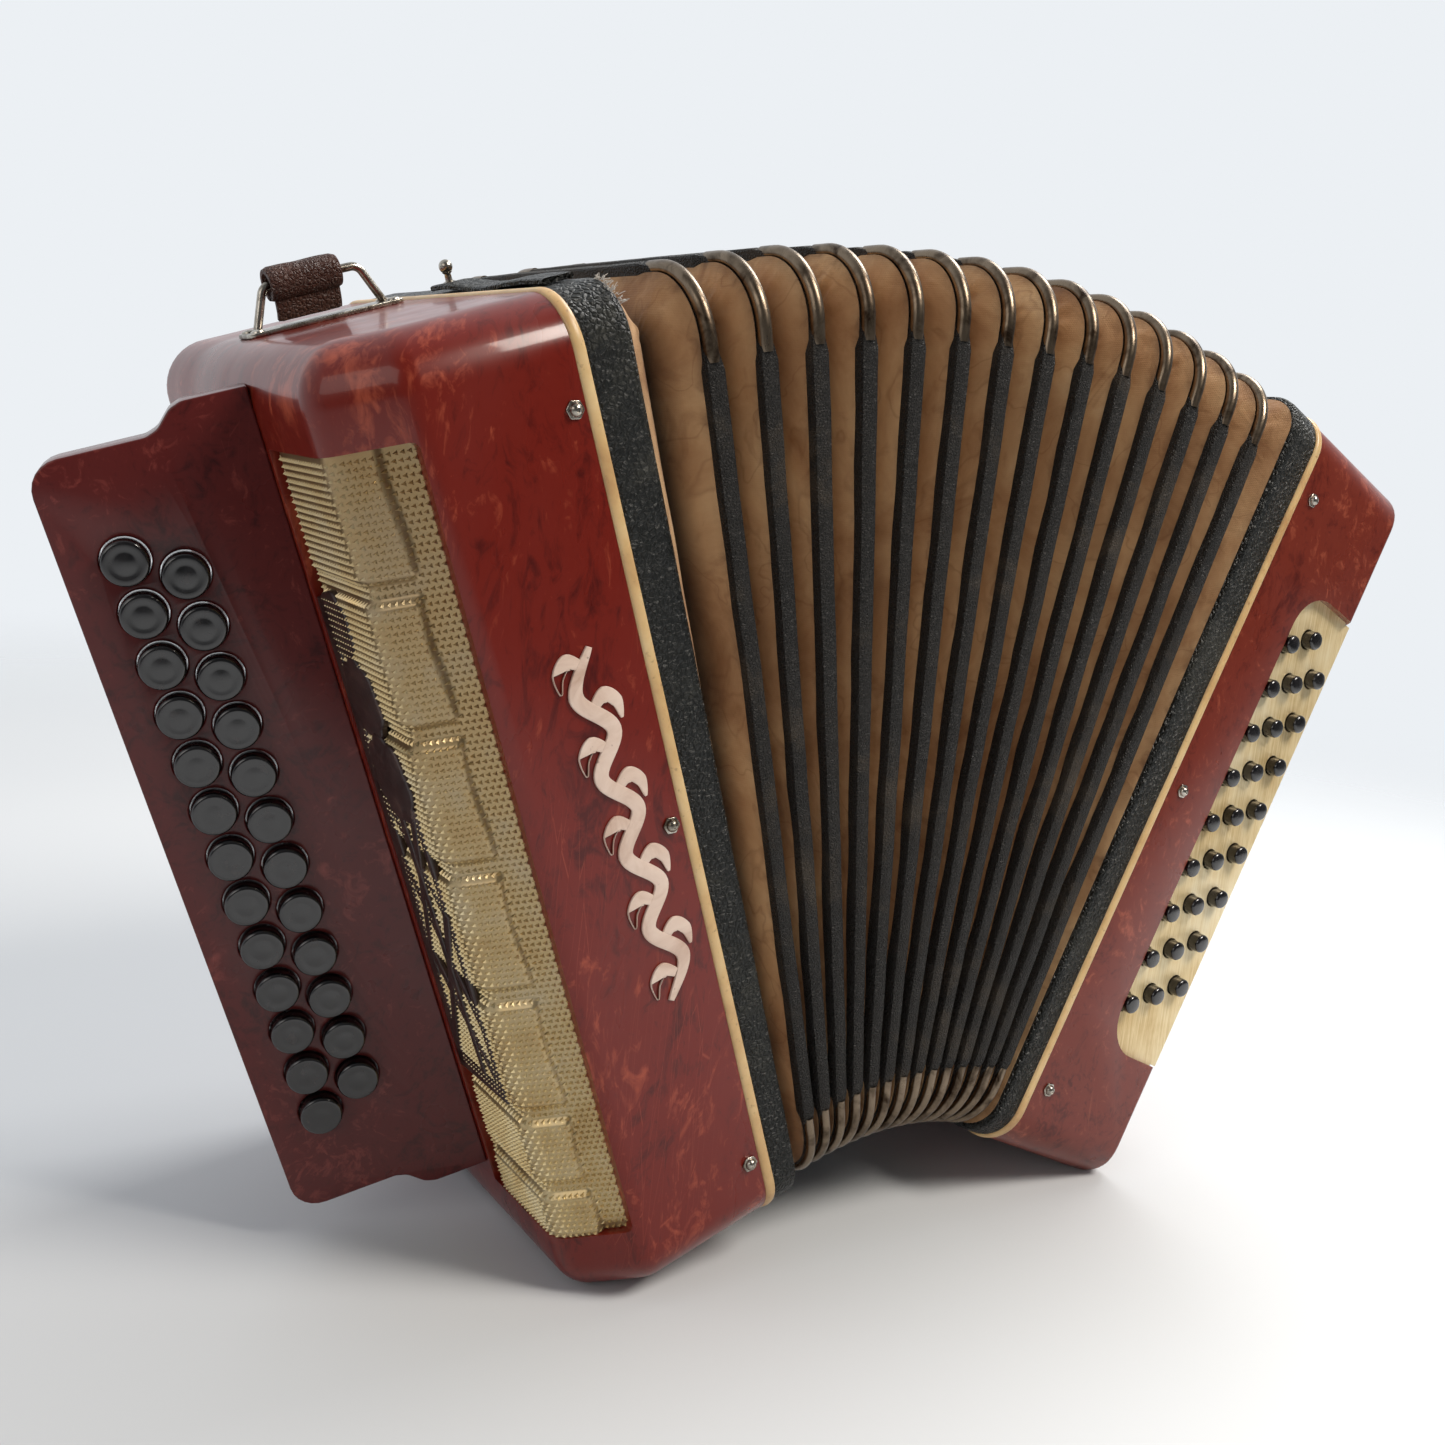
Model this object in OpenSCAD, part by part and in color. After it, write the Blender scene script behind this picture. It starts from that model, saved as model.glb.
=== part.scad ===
// Two-row button accordion with a fanned bellows, standing on its two lower outer edges.
// Millimetres. +X runs from the treble side to the bass side, +Y to the back, +Z up.
// The origin is the middle of the footprint, on the floor.
// Each case is drawn in an outward frame: x grows away from the bellows, z up the case.

/* [Cases] */
// Height of both cases and of the bellows
case_h = 340; // [300:5:380]
// Depth of both cases and of the bellows, front to back
case_d = 190; // [170:5:210]
// Width of each case, away from the bellows
case_w = 79; // [70:1:90]
// Thickness of the case walls
wall = 4; // [3:0.5:5]
// Radius of the front and back corners, seen from the side
corner_r = 18; // [12:1:22]
// Radius of the treble case's outer top and bottom edges
treble_edge_r = 18; // [10:1:22]
// Radius of the bass case's outer top and bottom edges
bass_edge_r = 11; // [8:1:20]
// Width of the treble bevel that carries the grille
bevel_w = 24; // [18:1:30]
// Depth of the treble bevel
bevel_d = 19; // [14:1:24]

/* [Fan] */
// Lean of the treble case from upright, in degrees
treble_lean = 20.3; // [18:0.1:24]
// Lean of the bass case from upright, in degrees
bass_lean = 23.7; // [20:0.1:26]
// Distance from the fan's axis to the bottom of the treble case
treble_radius = 146; // [140:1:160]

/* [Bellows] */
// Number of bellows folds
fold_count = 14; // [14:1:14]
// Depth of a fold
fold_d = 24; // [18:1:28]
// Thickness of a fold at the bottom
fold_t_low = 4.6; // [3.5:0.1:5]
// Thickness of a fold at the top
fold_t_high = 6.6; // [5:0.1:7]
// Thickness of the bellows frame's band at the bottom
band_low = 10; // [8:0.5:12]
// Thickness of the bellows frame's band at the top
band_high = 17; // [14:0.5:19]
// Width of the cream bead between case and band
bead_w = 4.5; // [3:0.5:6]
// Height of the bead over the case
bead_proud = 0.8; // [0.2:0.1:1.2]

/* [Fingerboard] */
// Width of the fingerboard, away from the case
board_w = 69; // [60:1:76]
// Thickness of the fingerboard
board_t = 14; // [12:1:16]
// Height of the fingerboard's lower end over the case's bottom
board_low = 37; // [30:1:45]
// Height of the fingerboard's upper end
board_high = 330; // [320:1:335]
// Backward tilt of the fingerboard, in degrees
board_tilt = 15; // [10:1:20]
// Distance of the fingerboard's front from the middle of the case
board_y = -26; // [-30:1:-20]
// Diameter of a treble button
button_d = 14.6; // [13:0.1:15]
// Height of a treble button over the board
button_proud = 5; // [4:0.5:6]
// Spacing of the treble buttons in a row
button_pitch = 17.14; // [17:0.01:18]
// Height of the top button of the outer row
button_top = 287.7; // [280:0.1:292]
// Distance of the outer row from the case
outer_row = 50.1; // [48:0.1:52]
// Distance of the inner row from the case
inner_row = 34.5; // [32:0.1:35]

/* [Bass side] */
// Diameter of a bass button
peg_d = 8.2; // [7:0.1:9]
// Height of a bass button over its plate
peg_proud = 5.5; // [5:0.5:7]
// Spacing of the bass rows
peg_pitch = 21.6; // [20:0.1:22]
// Spacing of the bass columns
peg_column = 13.8; // [13:0.1:14]
// Height of the top front bass button
peg_top = 250; // [245:1:255]
// Distance of the front column from the bellows side of the case
peg_x = 39.5; // [38:0.5:41]
// Distance of the notch from the bellows side of the case
notch_x = 34; // [32:0.5:36]
// Lower end of the notch
notch_low = 56; // [50:1:60]
// Upper end of the notch
notch_high = 276; // [270:1:282]
// Corner radius of the notch
notch_r = 19; // [12:1:22]

/* [Hidden] */
$fn = 48;
eps = 0.01;
big = 1000;
treble_count = 25;
outer_count = 13;

// Two-digit name of a number
function two(i) = str(i < 10 ? "0" : "", i);
// Unit vector at an angle from upright, positive towards +X
function up(a) = [sin(a), cos(a)];
function cross2(p, q) = p[0] * q[1] - p[1] * q[0];

// Where the cases touch the floor, and the radius that puts the bass foot level with the treble's
foot_drop = (treble_radius + treble_edge_r) * cos(treble_lean)
    - (case_w - treble_edge_r) * sin(treble_lean) - treble_edge_r;
bass_radius = (foot_drop + bass_edge_r + (case_w - bass_edge_r) * sin(bass_lean)) / cos(bass_lean)
    - bass_edge_r;
// Middle of the footprint, measured from the fan's axis
middle_x = -14;

// The bead lies half over the joint plane
bead_in = bead_w / 3;
case_start = bead_w - bead_in;
// Inner faces of the bands, as lines in the plane of the fan
band_slope = atan((band_high - band_low) / case_h);
treble_foot = treble_radius * up(-treble_lean) + (bead_in + band_low) * up(90 - treble_lean);
bass_foot = bass_radius * up(bass_lean) - (bead_in + band_low) * up(90 + bass_lean);
treble_face = -treble_lean + band_slope;
bass_face = bass_lean - band_slope;
fold_span = bass_face - treble_face;
// The fold planes meet on one axis, a little above the axis of the cases
face_cross = cross2(up(treble_face), up(bass_face));
fold_radius_a = cross2(treble_foot - bass_foot, up(bass_face)) / face_cross;
fold_radius_b = cross2(treble_foot - bass_foot, up(treble_face)) / face_cross;
fold_axis = treble_foot - fold_radius_a * up(treble_face);
// The first gap is wider and the last one narrower than the gaps between the folds
first_gap = 1.3;
last_gap = 0.9;
gap_angle = fold_span / (first_gap + fold_count - 1 + last_gap);
function fold_angle(k) = treble_face + gap_angle * (first_gap + k - 1);
function fold_radius(k) = fold_radius_a
    + (fold_radius_b - fold_radius_a) * (fold_angle(k) - treble_face) / fold_span;

rim_inset = wall + 0.1;
rim_depth = 8;
rim_end = 18;
pan_t = 5;
opening_low = 30;
opening_high = 310;
opening_edge = 2;
opening_back = board_y - 2;
sheet_t = 1.2;
pillow_count = 7;
pillow_gap = 5;
pillow_sunk = 1.4;
stem_len = 10;
peg_sunk = 12;
plate_t = 2;
plate_lap = 5;
fit = 0.3;
bolt_heights = [30, 168, 306];

// Frames of reference
module in_fan() {
    translate([-middle_x, 0, -foot_drop]) children();
}
module at_treble() {
    in_fan() rotate([0, -treble_lean, 0]) translate([0, 0, treble_radius]) mirror([1, 0, 0]) children();
}
module at_bass() {
    in_fan() rotate([0, bass_lean, 0]) translate([0, 0, bass_radius]) children();
}
module at_fold(k) {
    in_fan() translate([fold_axis[0], 0, fold_axis[1]]) rotate([0, fold_angle(k), 0])
        translate([0, 0, fold_radius(k)]) children();
}
// The board's own frame: x away from the case, y up the case, z out of the board's front
module on_board() {
    at_treble() translate([case_w, board_y, 0]) rotate([0, 0, board_tilt]) rotate([90, 0, 0]) children();
}

// Outlines
module rounded_rect(w, h, r) {
    translate([-w / 2 + r, 0]) square([w - 2 * r, h]);
    translate([-w / 2, r]) square([w, h - 2 * r]);
    for (x = [-w / 2 + r, w / 2 - r], y = [r, h - r]) translate([x, y]) circle(r);
}
// Case seen from the side, shrunk by inset
module side_outline(inset) {
    translate([0, inset]) rounded_rect(case_d - 2 * inset, case_h - 2 * inset, max(corner_r - inset, 2));
}
// Case seen from the front
module front_outline(inset, edge_r) {
    translate([-big, inset]) square([big + case_w - edge_r, case_h - 2 * inset]);
    translate([-big, edge_r]) square([big + case_w - inset, case_h - 2 * edge_r]);
    for (z = [edge_r, case_h - edge_r]) translate([case_w - edge_r, z]) circle(edge_r - inset);
}
// Case seen from above: a bevel at the front outer edge and a round back outer edge
module plan_outline(inset, bevel_x, bevel_y, back_r) {
    slant = atan(bevel_y / bevel_x);
    front = -case_d / 2;
    polygon([
        [-big, front + inset],
        [case_w - bevel_x - inset * tan(slant / 2), front + inset],
        [case_w - inset, front + bevel_y + inset * tan((90 - slant) / 2)],
        [case_w - inset, -front - back_r],
        [case_w - back_r, -front - inset],
        [-big, -front - inset]]);
    translate([case_w - back_r, -front - back_r]) circle(back_r - inset);
}
// Extrude an outline of y and z along x
module along_x(x0, x1) {
    translate([x0, 0, 0]) rotate([90, 0, 90]) linear_extrude(x1 - x0) children();
}
// Extrude an outline of x and z along y
module along_y(y0, y1) {
    translate([0, y1, 0]) rotate([90, 0, 0]) linear_extrude(y1 - y0) children();
}
module treble_block(inset, start) {
    intersection() {
        along_x(start, case_w - inset) side_outline(inset);
        along_y(-case_d / 2, case_d / 2) front_outline(inset, treble_edge_r);
        linear_extrude(case_h) plan_outline(inset, bevel_w, bevel_d, treble_edge_r);
    }
}
module bass_block(inset, start) {
    intersection() {
        along_x(start, case_w - inset) side_outline(inset);
        along_y(-case_d / 2, case_d / 2) front_outline(inset, bass_edge_r);
        linear_extrude(case_h) plan_outline(inset, 6, 6, bass_edge_r);
    }
}
// A ring that follows the side outline
module ring(x0, x1, inset, depth) {
    difference() {
        along_x(x0, x1) side_outline(inset);
        along_x(x0 - 1, x1 + 1) side_outline(inset + depth);
    }
}
// The bolts of one case: front and back, three each
module at_bolts(x) {
    for (z = bolt_heights) {
        translate([x, -case_d / 2, z]) rotate([90, 0, 0]) children();
        translate([x, case_d / 2, z]) rotate([-90, 0, 0]) children();
    }
}
module bolt() {
    translate([0, 0, -8.9]) cylinder(d = 3, h = 9);
    cylinder(d = 8, h = 0.9, $fn = 6);
    translate([0, 0, 0.9]) rotate_extrude() intersection() {
        circle(2.6);
        square(2.6);
    }
}
module bolt_holes(x) {
    at_bolts(x) cylinder(d = 3.1, h = 18.2, center = true);
}

// Bellows frame of one case: a wedge-shaped band, and a rim inside the case
module band_and_rim(bolt_x) {
    color([0.06, 0.07, 0.07]) difference() {
        union() {
            intersection() {
                ring(-bead_in - band_high, -bead_in, 0, rim_inset + rim_depth);
                along_y(-case_d / 2, case_d / 2) polygon([
                    [-bead_in, 0], [-bead_in - band_low, 0],
                    [-bead_in - band_high, case_h], [-bead_in, case_h]]);
            }
            ring(-bead_in - eps, rim_end, rim_inset, rim_depth);
        }
        bolt_holes(bolt_x);
    }
}
module bead() {
    color([0.86, 0.74, 0.52]) ring(-bead_in, case_start, -bead_proud, wall + bead_proud);
}
// Soundboard with the reed blocks that stand in the bellows
module reed_pan() {
    color([0.72, 0.55, 0.34]) {
        difference() {
            along_x(rim_end + 0.1, rim_end + 0.1 + pan_t) side_outline(rim_inset);
            for (y = [-45, 0, 45], z = [40:20:300])
                translate([rim_end, y, z]) cube([3 * pan_t, 14, 8], center = true);
        }
        for (y = [-45, 0, 45]) difference() {
            translate([-8, y - 13, 28]) cube([rim_end + 8.1, 26, case_h - 56]);
            for (z = [40:20:300]) translate([rim_end, y, z]) cube([40, 14, 8], center = true);
        }
    }
}

// Treble side
bolt_x_treble = 5.5 + case_start / 2;
module treble_case() {
    color([0.42, 0.09, 0.07]) at_treble() difference() {
        treble_block(0, case_start);
        treble_block(wall, -1);
        translate([case_w - bevel_w + opening_edge, -case_d, opening_low])
            cube([case_w, case_d + opening_back, opening_high - opening_low]);
        bolt_holes(bolt_x_treble);
    }
}
module treble_piping() { at_treble() bead(); }
module treble_frame() { at_treble() band_and_rim(bolt_x_treble); }
module treble_reed_pan() { at_treble() reed_pan(); }
module treble_bolts() {
    color([0.75, 0.74, 0.7]) at_treble() at_bolts(bolt_x_treble) bolt();
}
// A layer of the case's wall between two insets
module wall_layer(outer, inner) {
    difference() {
        plan_outline(outer, bevel_w, bevel_d, treble_edge_r);
        plan_outline(inner, bevel_w, bevel_d, treble_edge_r);
    }
}
// Embossed sheet behind the opening, with raised pillows that fill it
module treble_grille() {
    lap = 3;
    pillow_h = (opening_high - opening_low - 2) / pillow_count;
    color([0.8, 0.66, 0.36]) at_treble() {
        intersection() {
            translate([0, 0, opening_low - lap]) linear_extrude(opening_high - opening_low + 2 * lap)
                wall_layer(wall, wall + sheet_t);
            translate([case_w - bevel_w - 2, -case_d, 0]) cube([case_w, case_d + opening_back + lap, case_h]);
        }
        for (i = [0:pillow_count - 1]) intersection() {
            translate([0, 0, opening_low + 1 + i * pillow_h + pillow_gap / 2])
                linear_extrude(pillow_h - pillow_gap) wall_layer(pillow_sunk, wall + eps);
            translate([case_w - bevel_w + 6, -case_d, 0]) cube([case_w, case_d + opening_back - 3, case_h]);
        }
    }
}
// Dark openwork trim on the outer face, beside the fingerboard
module grille_ornament() {
    low = 70;
    high = 272;
    back = board_y - 2.5;
    color([0.16, 0.11, 0.09]) at_treble() translate([case_w - pillow_sunk + 0.05, 0, 0])
        along_x(0, 2.4) {
            difference() {
                polygon([[back, high], [back - 30, high - 60], [back - 36, low], [back, low]]);
                for (z = [low + 12:24:high - 90])
                    for (s = [0, 1]) translate([back - 9 - 15 * s, z + 9 * s])
                        polygon([[-5, -8], [5, 0], [-5, 8]]);
            }
            for (i = [0:2]) translate([back - 14 - 5 * i, high - 22 - 32 * i]) circle(14);
        }
}
// Fingerboard: front outline with stepped ends and round outer corners
module board_outline(z0, z1) {
    step = 8;
    r = 10;
    root = 5;
    polygon([
        [-root, z0], [20, z0], [24, z0 + 1.5], [29, z0 + 6.5], [33, z0 + step],
        [board_w - r, z0 + step], [board_w - r, z1 - step],
        [33, z1 - step], [29, z1 - 6.5], [24, z1 - 1.5], [20, z1], [-root, z1]]);
    translate([board_w - 2 * r, z0 + step + r]) square([2 * r, z1 - z0 - 2 * (step + r)]);
    for (z = [z0 + step + r, z1 - step - r]) translate([board_w - r, z]) circle(r);
}
function button_place(i) = i <= outer_count
    ? [outer_row, button_top - (i - 1) * button_pitch]
    : [inner_row, button_top - (i - outer_count - 0.5) * button_pitch];
module fingerboard() {
    color([0.42, 0.08, 0.08]) difference() {
        on_board() translate([0, 0, -board_t]) linear_extrude(board_t) board_outline(board_low, board_high);
        on_board() for (i = [1:treble_count])
            translate([button_place(i)[0], button_place(i)[1], -board_t - 1])
                cylinder(d = button_d + 2 * fit, h = board_t + 2);
        at_treble() translate([case_w - big, -big / 2, -big / 2]) cube(big);
    }
}
module treble_button(i) {
    cap_r = button_d / 2;
    color([0.05, 0.05, 0.06]) on_board() translate([button_place(i)[0], button_place(i)[1], 0])
        rotate_extrude() polygon([
            [0, -stem_len], [cap_r - 0.8, -stem_len], [cap_r, -stem_len + 0.8],
            [cap_r, button_proud - 1.6], [cap_r - 0.5, button_proud - 0.6],
            [cap_r - 1.5, button_proud - 0.1], [cap_r - 3, button_proud - 0.1],
            [cap_r - 4, button_proud], [0, button_proud]]);
}
// Shoulder strap bracket: base plate and a bent wire loop, with the strap's end round its bar
bracket_x = 34;
bracket_y = 22;
bracket_h = 15;
bar_len = 34;
wire_d = 3;
module at_bracket() {
    at_treble() translate([bracket_x, bracket_y, case_h]) children();
}
module strap_bracket() {
    foot = bar_len / 2 + 6;
    lean = atan((foot - bar_len / 2) / (bracket_h - 1.6));
    leg = (bracket_h - 1.6) / cos(lean);
    color([0.5, 0.5, 0.5]) at_bracket() {
        difference() {
            translate([-foot - 5, -8, 0]) cube([2 * foot + 10, 16, 1.6]);
            for (x = [-foot - 1.5, foot + 1.5], y = [-5, 5]) translate([x, y, -1]) cylinder(d = 3, h = 4);
        }
        translate([-bar_len / 2, 0, bracket_h]) rotate([0, 90, 0]) cylinder(d = wire_d, h = bar_len);
        for (s = [-1, 1]) translate([s * bar_len / 2, 0, bracket_h]) {
            sphere(d = wire_d + 0.6);
            rotate([0, 180 - s * lean, 0]) cylinder(d = wire_d, h = leg);
        }
    }
}
module strap_loop() {
    width = 25;
    color([0.3, 0.17, 0.11]) at_bracket() translate([3, 0, bracket_h]) rotate([0, 90, 0])
        difference() {
            union() {
                cylinder(r = 6.2, h = width, center = true);
                translate([0, 8, 0]) cube([12.4, 16, width], center = true);
            }
            cylinder(d = wire_d + 0.1, h = width + 1, center = true);
            translate([0, 12, 0]) cube([3, 24, width + 1], center = true);
        }
}

// Bellows fold k: a ring of two stiff cards, thicker at the top
module bellows_fold(k) {
    color(k % 2 ? [0.1, 0.09, 0.09] : [0.16, 0.13, 0.11]) at_fold(k) intersection() {
        ring(-fold_t_high, fold_t_high, 0, fold_d);
        along_y(-case_d / 2, case_d / 2) polygon([
            [-fold_t_low / 2, 0], [fold_t_low / 2, 0],
            [fold_t_high / 2, case_h], [-fold_t_high / 2, case_h]]);
    }
}

// Bass side
bolt_x_bass = 11;
module notch_outline() {
    w = 2 * (case_w - notch_x);
    translate([notch_x + w / 2, notch_low]) rounded_rect(w, notch_high - notch_low, notch_r);
}
module plate_outline(gap) {
    intersection() {
        notch_outline();
        square([case_w, case_h]);
    }
    translate([notch_x - plate_lap - gap, notch_low - plate_lap - gap])
        square([case_w - wall - notch_x + plate_lap, notch_high - notch_low + 2 * plate_lap + 2 * gap]);
}
module bass_case() {
    color([0.42, 0.09, 0.07]) at_bass() difference() {
        bass_block(0, case_start);
        bass_block(wall, -1);
        along_y(-case_d / 2 - 1, -case_d / 2 + wall + eps) notch_outline();
        along_y(-case_d / 2 + wall, -case_d / 2 + wall + plate_t) plate_outline(0.1);
        bolt_holes(bolt_x_bass);
    }
}
module bass_piping() { at_bass() bead(); }
module bass_frame() { at_bass() band_and_rim(bolt_x_bass); }
module bass_reed_pan() { at_bass() reed_pan(); }
module bass_bolts() {
    color([0.75, 0.74, 0.7]) at_bass() at_bolts(bolt_x_bass) bolt();
}
// Bass button of row i and column j
module at_peg(i, j) {
    translate([peg_x + j * peg_column, -case_d / 2 + wall, peg_top - i * peg_pitch + j * 8])
        rotate([90, 0, 0]) children();
}
module bass_button_plate() {
    color([0.84, 0.77, 0.58]) at_bass() difference() {
        along_y(-case_d / 2 + wall + 0.02, -case_d / 2 + wall + plate_t) plate_outline(0);
        for (i = [0:8], j = [0:2]) if (i > 0 || j < 2)
            at_peg(i, j) cylinder(d = peg_d + 2 * fit, h = 3 * plate_t, center = true);
    }
}
module peg_column(j, first) {
    color([0.05, 0.05, 0.06]) at_bass() {
        for (i = [first:8]) at_peg(i, j) rotate_extrude() polygon([
            [0, -peg_sunk], [peg_d / 2, -peg_sunk], [peg_d / 2, peg_proud - 2],
            [peg_d / 2 - 0.5, peg_proud - 0.9], [peg_d / 2 - 1.5, peg_proud - 0.2], [0, peg_proud]]);
        // Rail behind the plate that holds the column together
        translate([peg_x + j * peg_column - 2, -case_d / 2 + wall + peg_sunk - 3,
                   peg_top - 8 * peg_pitch + j * 8])
            cube([4, 3, (8 - first) * peg_pitch]);
    }
}
module bass_buttons_front() { peg_column(0, 0); }
module bass_buttons_middle() { peg_column(1, 0); }
module bass_buttons_rear() { peg_column(2, 1); }
// Leather hand strap on the outer face, held by a plate at each end
module hand_strap() {
    low = 46;
    high = 294;
    rise = 22;
    thick = 3;
    width = 58;
    half = (high - low) / 2;
    radius = (half * half + rise * rise) / (2 * rise);
    color([0.2, 0.11, 0.08]) at_bass() translate([case_w, 20, (low + high) / 2]) {
        intersection() {
            translate([rise - radius, width / 2, 0]) rotate([90, 0, 0]) difference() {
                cylinder(r = radius, h = width, $fn = 96);
                translate([0, 0, -1]) cylinder(r = radius - thick, h = width + 2, $fn = 96);
            }
            translate([0.05, -width, -half]) cube([2 * rise, 2 * width, 2 * half]);
        }
        for (s = [-1, 1]) translate([0.05, -width / 2, s * (half + 4) - 10]) cube([thick, width, 20]);
    }
}

treble_case();
treble_piping();
treble_frame();
treble_grille();
grille_ornament();
treble_reed_pan();
fingerboard();
strap_bracket();
strap_loop();
treble_bolts();
for (i = [1:treble_count])
    treble_button(i);
for (k = [1:fold_count])
    bellows_fold(k);
bass_frame();
bass_piping();
bass_case();
bass_button_plate();
bass_buttons_front();
bass_buttons_middle();
bass_buttons_rear();
bass_bolts();
bass_reed_pan();
hand_strap();
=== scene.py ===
"""Looks of a two-row button accordion: detailed pieces and materials round its CAD frame.

Shapes are worked out in millimetres in the frames of the cases, the board and the folds, and each
piece is placed in metres. In a case's frame, x grows away from the bellows and z up the case.
"""
import math

import bmesh
import bpy
import numpy as np
from mathutils import Matrix, Vector, noise


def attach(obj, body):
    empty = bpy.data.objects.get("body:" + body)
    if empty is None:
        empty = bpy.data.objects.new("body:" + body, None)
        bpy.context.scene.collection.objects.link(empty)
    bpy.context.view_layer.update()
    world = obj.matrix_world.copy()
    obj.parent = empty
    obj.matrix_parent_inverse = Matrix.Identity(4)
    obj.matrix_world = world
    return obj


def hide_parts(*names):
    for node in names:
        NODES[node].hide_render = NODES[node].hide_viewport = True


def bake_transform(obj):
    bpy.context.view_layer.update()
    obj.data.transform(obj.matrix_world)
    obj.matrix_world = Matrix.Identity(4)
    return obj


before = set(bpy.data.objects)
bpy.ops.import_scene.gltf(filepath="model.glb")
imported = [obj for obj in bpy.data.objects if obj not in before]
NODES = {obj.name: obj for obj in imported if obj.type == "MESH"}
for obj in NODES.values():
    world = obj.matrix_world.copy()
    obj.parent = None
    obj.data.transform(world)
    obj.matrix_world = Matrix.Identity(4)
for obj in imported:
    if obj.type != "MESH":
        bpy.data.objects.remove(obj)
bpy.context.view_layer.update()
noise.seed_set(7)    # noise_vector takes its offsets from the clock unless it is given a seed

# ---------------------------------------------------------------- driving sizes, in millimetres
CASE_H, CASE_D, CASE_W = 340.0, 190.0, 79.0
FRONT = -CASE_D / 2
WALL = 4.0
CORNER_R = 18.0
EDGE_TREBLE, EDGE_BASS = 18.0, 11.0
BEVEL_W, BEVEL_D = 24.0, 19.0
LEAN_TREBLE, LEAN_BASS = 20.3, 23.7
RADIUS_TREBLE = 146.0
FOLDS = 14
FOLD_LOW, FOLD_HIGH = 4.6, 6.6
FOLD_DEEP = 22.0
BAND_LOW, BAND_HIGH = 10.0, 17.0
BEAD_W, BEAD_PROUD = 4.5, 0.8
BEAD_IN = BEAD_W / 3
CASE_START = BEAD_W - BEAD_IN
OPEN_LOW, OPEN_HIGH = 30.0, 310.0
BOARD_W, BOARD_T = 69.0, 14.0
BOARD_LOW, BOARD_HIGH = 37.0, 330.0
BOARD_TILT, BOARD_Y = 15.0, -26.0
OPEN_BACK = BOARD_Y - 2
BUTTON_D, BUTTON_PROUD, BUTTON_STEM = 14.6, 5.0, 10.0
BUTTON_PITCH, BUTTON_TOP = 17.14, 287.7
OUTER_ROW, INNER_ROW = 50.1, 34.5
OUTER_COUNT, BUTTONS = 13, 25
PEG_D, PEG_PROUD, PEG_SUNK = 8.2, 5.5, 12.0
PEG_PITCH, PEG_COLUMN, PEG_TOP, PEG_X, PEG_STEP = 21.6, 13.8, 250.0, 39.5, 8.0
NOTCH_X, NOTCH_LOW, NOTCH_HIGH, NOTCH_R = 34.0, 56.0, 276.0, 19.0
BRACKET_X, BRACKET_Y, BRACKET_H = 34.0, 22.0, 15.0
BAR_LEN, WIRE_D = 34.0, 3.0
MIDDLE_X = -14.0
GAP_FIRST, GAP_LAST = 1.3, 0.9


# ---------------------------------------------------------------- frames of reference
def up(angle):
    """Unit vector (x, z) at an angle in degrees from upright, positive towards +X."""
    return np.array([math.sin(math.radians(angle)), math.cos(math.radians(angle))])


def cross(p, q):
    return p[0] * q[1] - p[1] * q[0]


def turn(degrees, axis):
    return Matrix.Rotation(math.radians(degrees), 4, axis)


def shift(x, y, z):
    return Matrix.Translation((x, y, z))


foot_drop = ((RADIUS_TREBLE + EDGE_TREBLE) * up(LEAN_TREBLE)[1]
             - (CASE_W - EDGE_TREBLE) * up(LEAN_TREBLE)[0] - EDGE_TREBLE)
RADIUS_BASS = ((foot_drop + EDGE_BASS + (CASE_W - EDGE_BASS) * up(LEAN_BASS)[0])
               / up(LEAN_BASS)[1] - EDGE_BASS)
band_slope = math.degrees(math.atan((BAND_HIGH - BAND_LOW) / CASE_H))
treble_face = -LEAN_TREBLE + band_slope
bass_face = LEAN_BASS - band_slope
treble_foot = RADIUS_TREBLE * up(-LEAN_TREBLE) + (BEAD_IN + BAND_LOW) * up(90 - LEAN_TREBLE)
bass_foot = RADIUS_BASS * up(LEAN_BASS) - (BEAD_IN + BAND_LOW) * up(90 + LEAN_BASS)
face_cross = cross(up(treble_face), up(bass_face))
radius_a = cross(treble_foot - bass_foot, up(bass_face)) / face_cross
radius_b = cross(treble_foot - bass_foot, up(treble_face)) / face_cross
fold_axis = treble_foot - radius_a * up(treble_face)
gap_angle = (bass_face - treble_face) / (GAP_FIRST + FOLDS - 1 + GAP_LAST)

METRES = Matrix.Scale(0.001, 4)
FAN = METRES @ shift(-MIDDLE_X, 0, -foot_drop)
OUTWARD = Matrix.Diagonal((-1, 1, 1, 1))
TREBLE = FAN @ turn(-LEAN_TREBLE, "Y") @ shift(0, 0, RADIUS_TREBLE) @ OUTWARD
BASS = FAN @ turn(LEAN_BASS, "Y") @ shift(0, 0, RADIUS_BASS)
BOARD = TREBLE @ shift(CASE_W, BOARD_Y, 0) @ turn(BOARD_TILT, "Z") @ turn(90, "X")


def fold_frame(k):
    """Frame of fold k; 0 is the treble band's face and FOLDS + 1 the bass band's."""
    if k == 0:
        angle = treble_face
    elif k == FOLDS + 1:
        angle = bass_face
    else:
        angle = treble_face + gap_angle * (GAP_FIRST + k - 1)
    share = (angle - treble_face) / (bass_face - treble_face)
    radius = radius_a + (radius_b - radius_a) * share
    return (FAN @ shift(fold_axis[0], 0, fold_axis[1]) @ turn(angle, "Y") @ shift(0, 0, radius))


def new_object(name, data):
    """An object of a mesh, curve, light or camera, linked to the scene."""
    obj = bpy.data.objects.new(name, data)
    bpy.context.scene.collection.objects.link(obj)
    return obj


def place_points(points, place):
    """Points in a local frame as an array of world points, in metres."""
    p = np.asarray(points, float)
    m = np.array(place)
    return p @ m[:3, :3].T + m[:3, 3]


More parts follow.
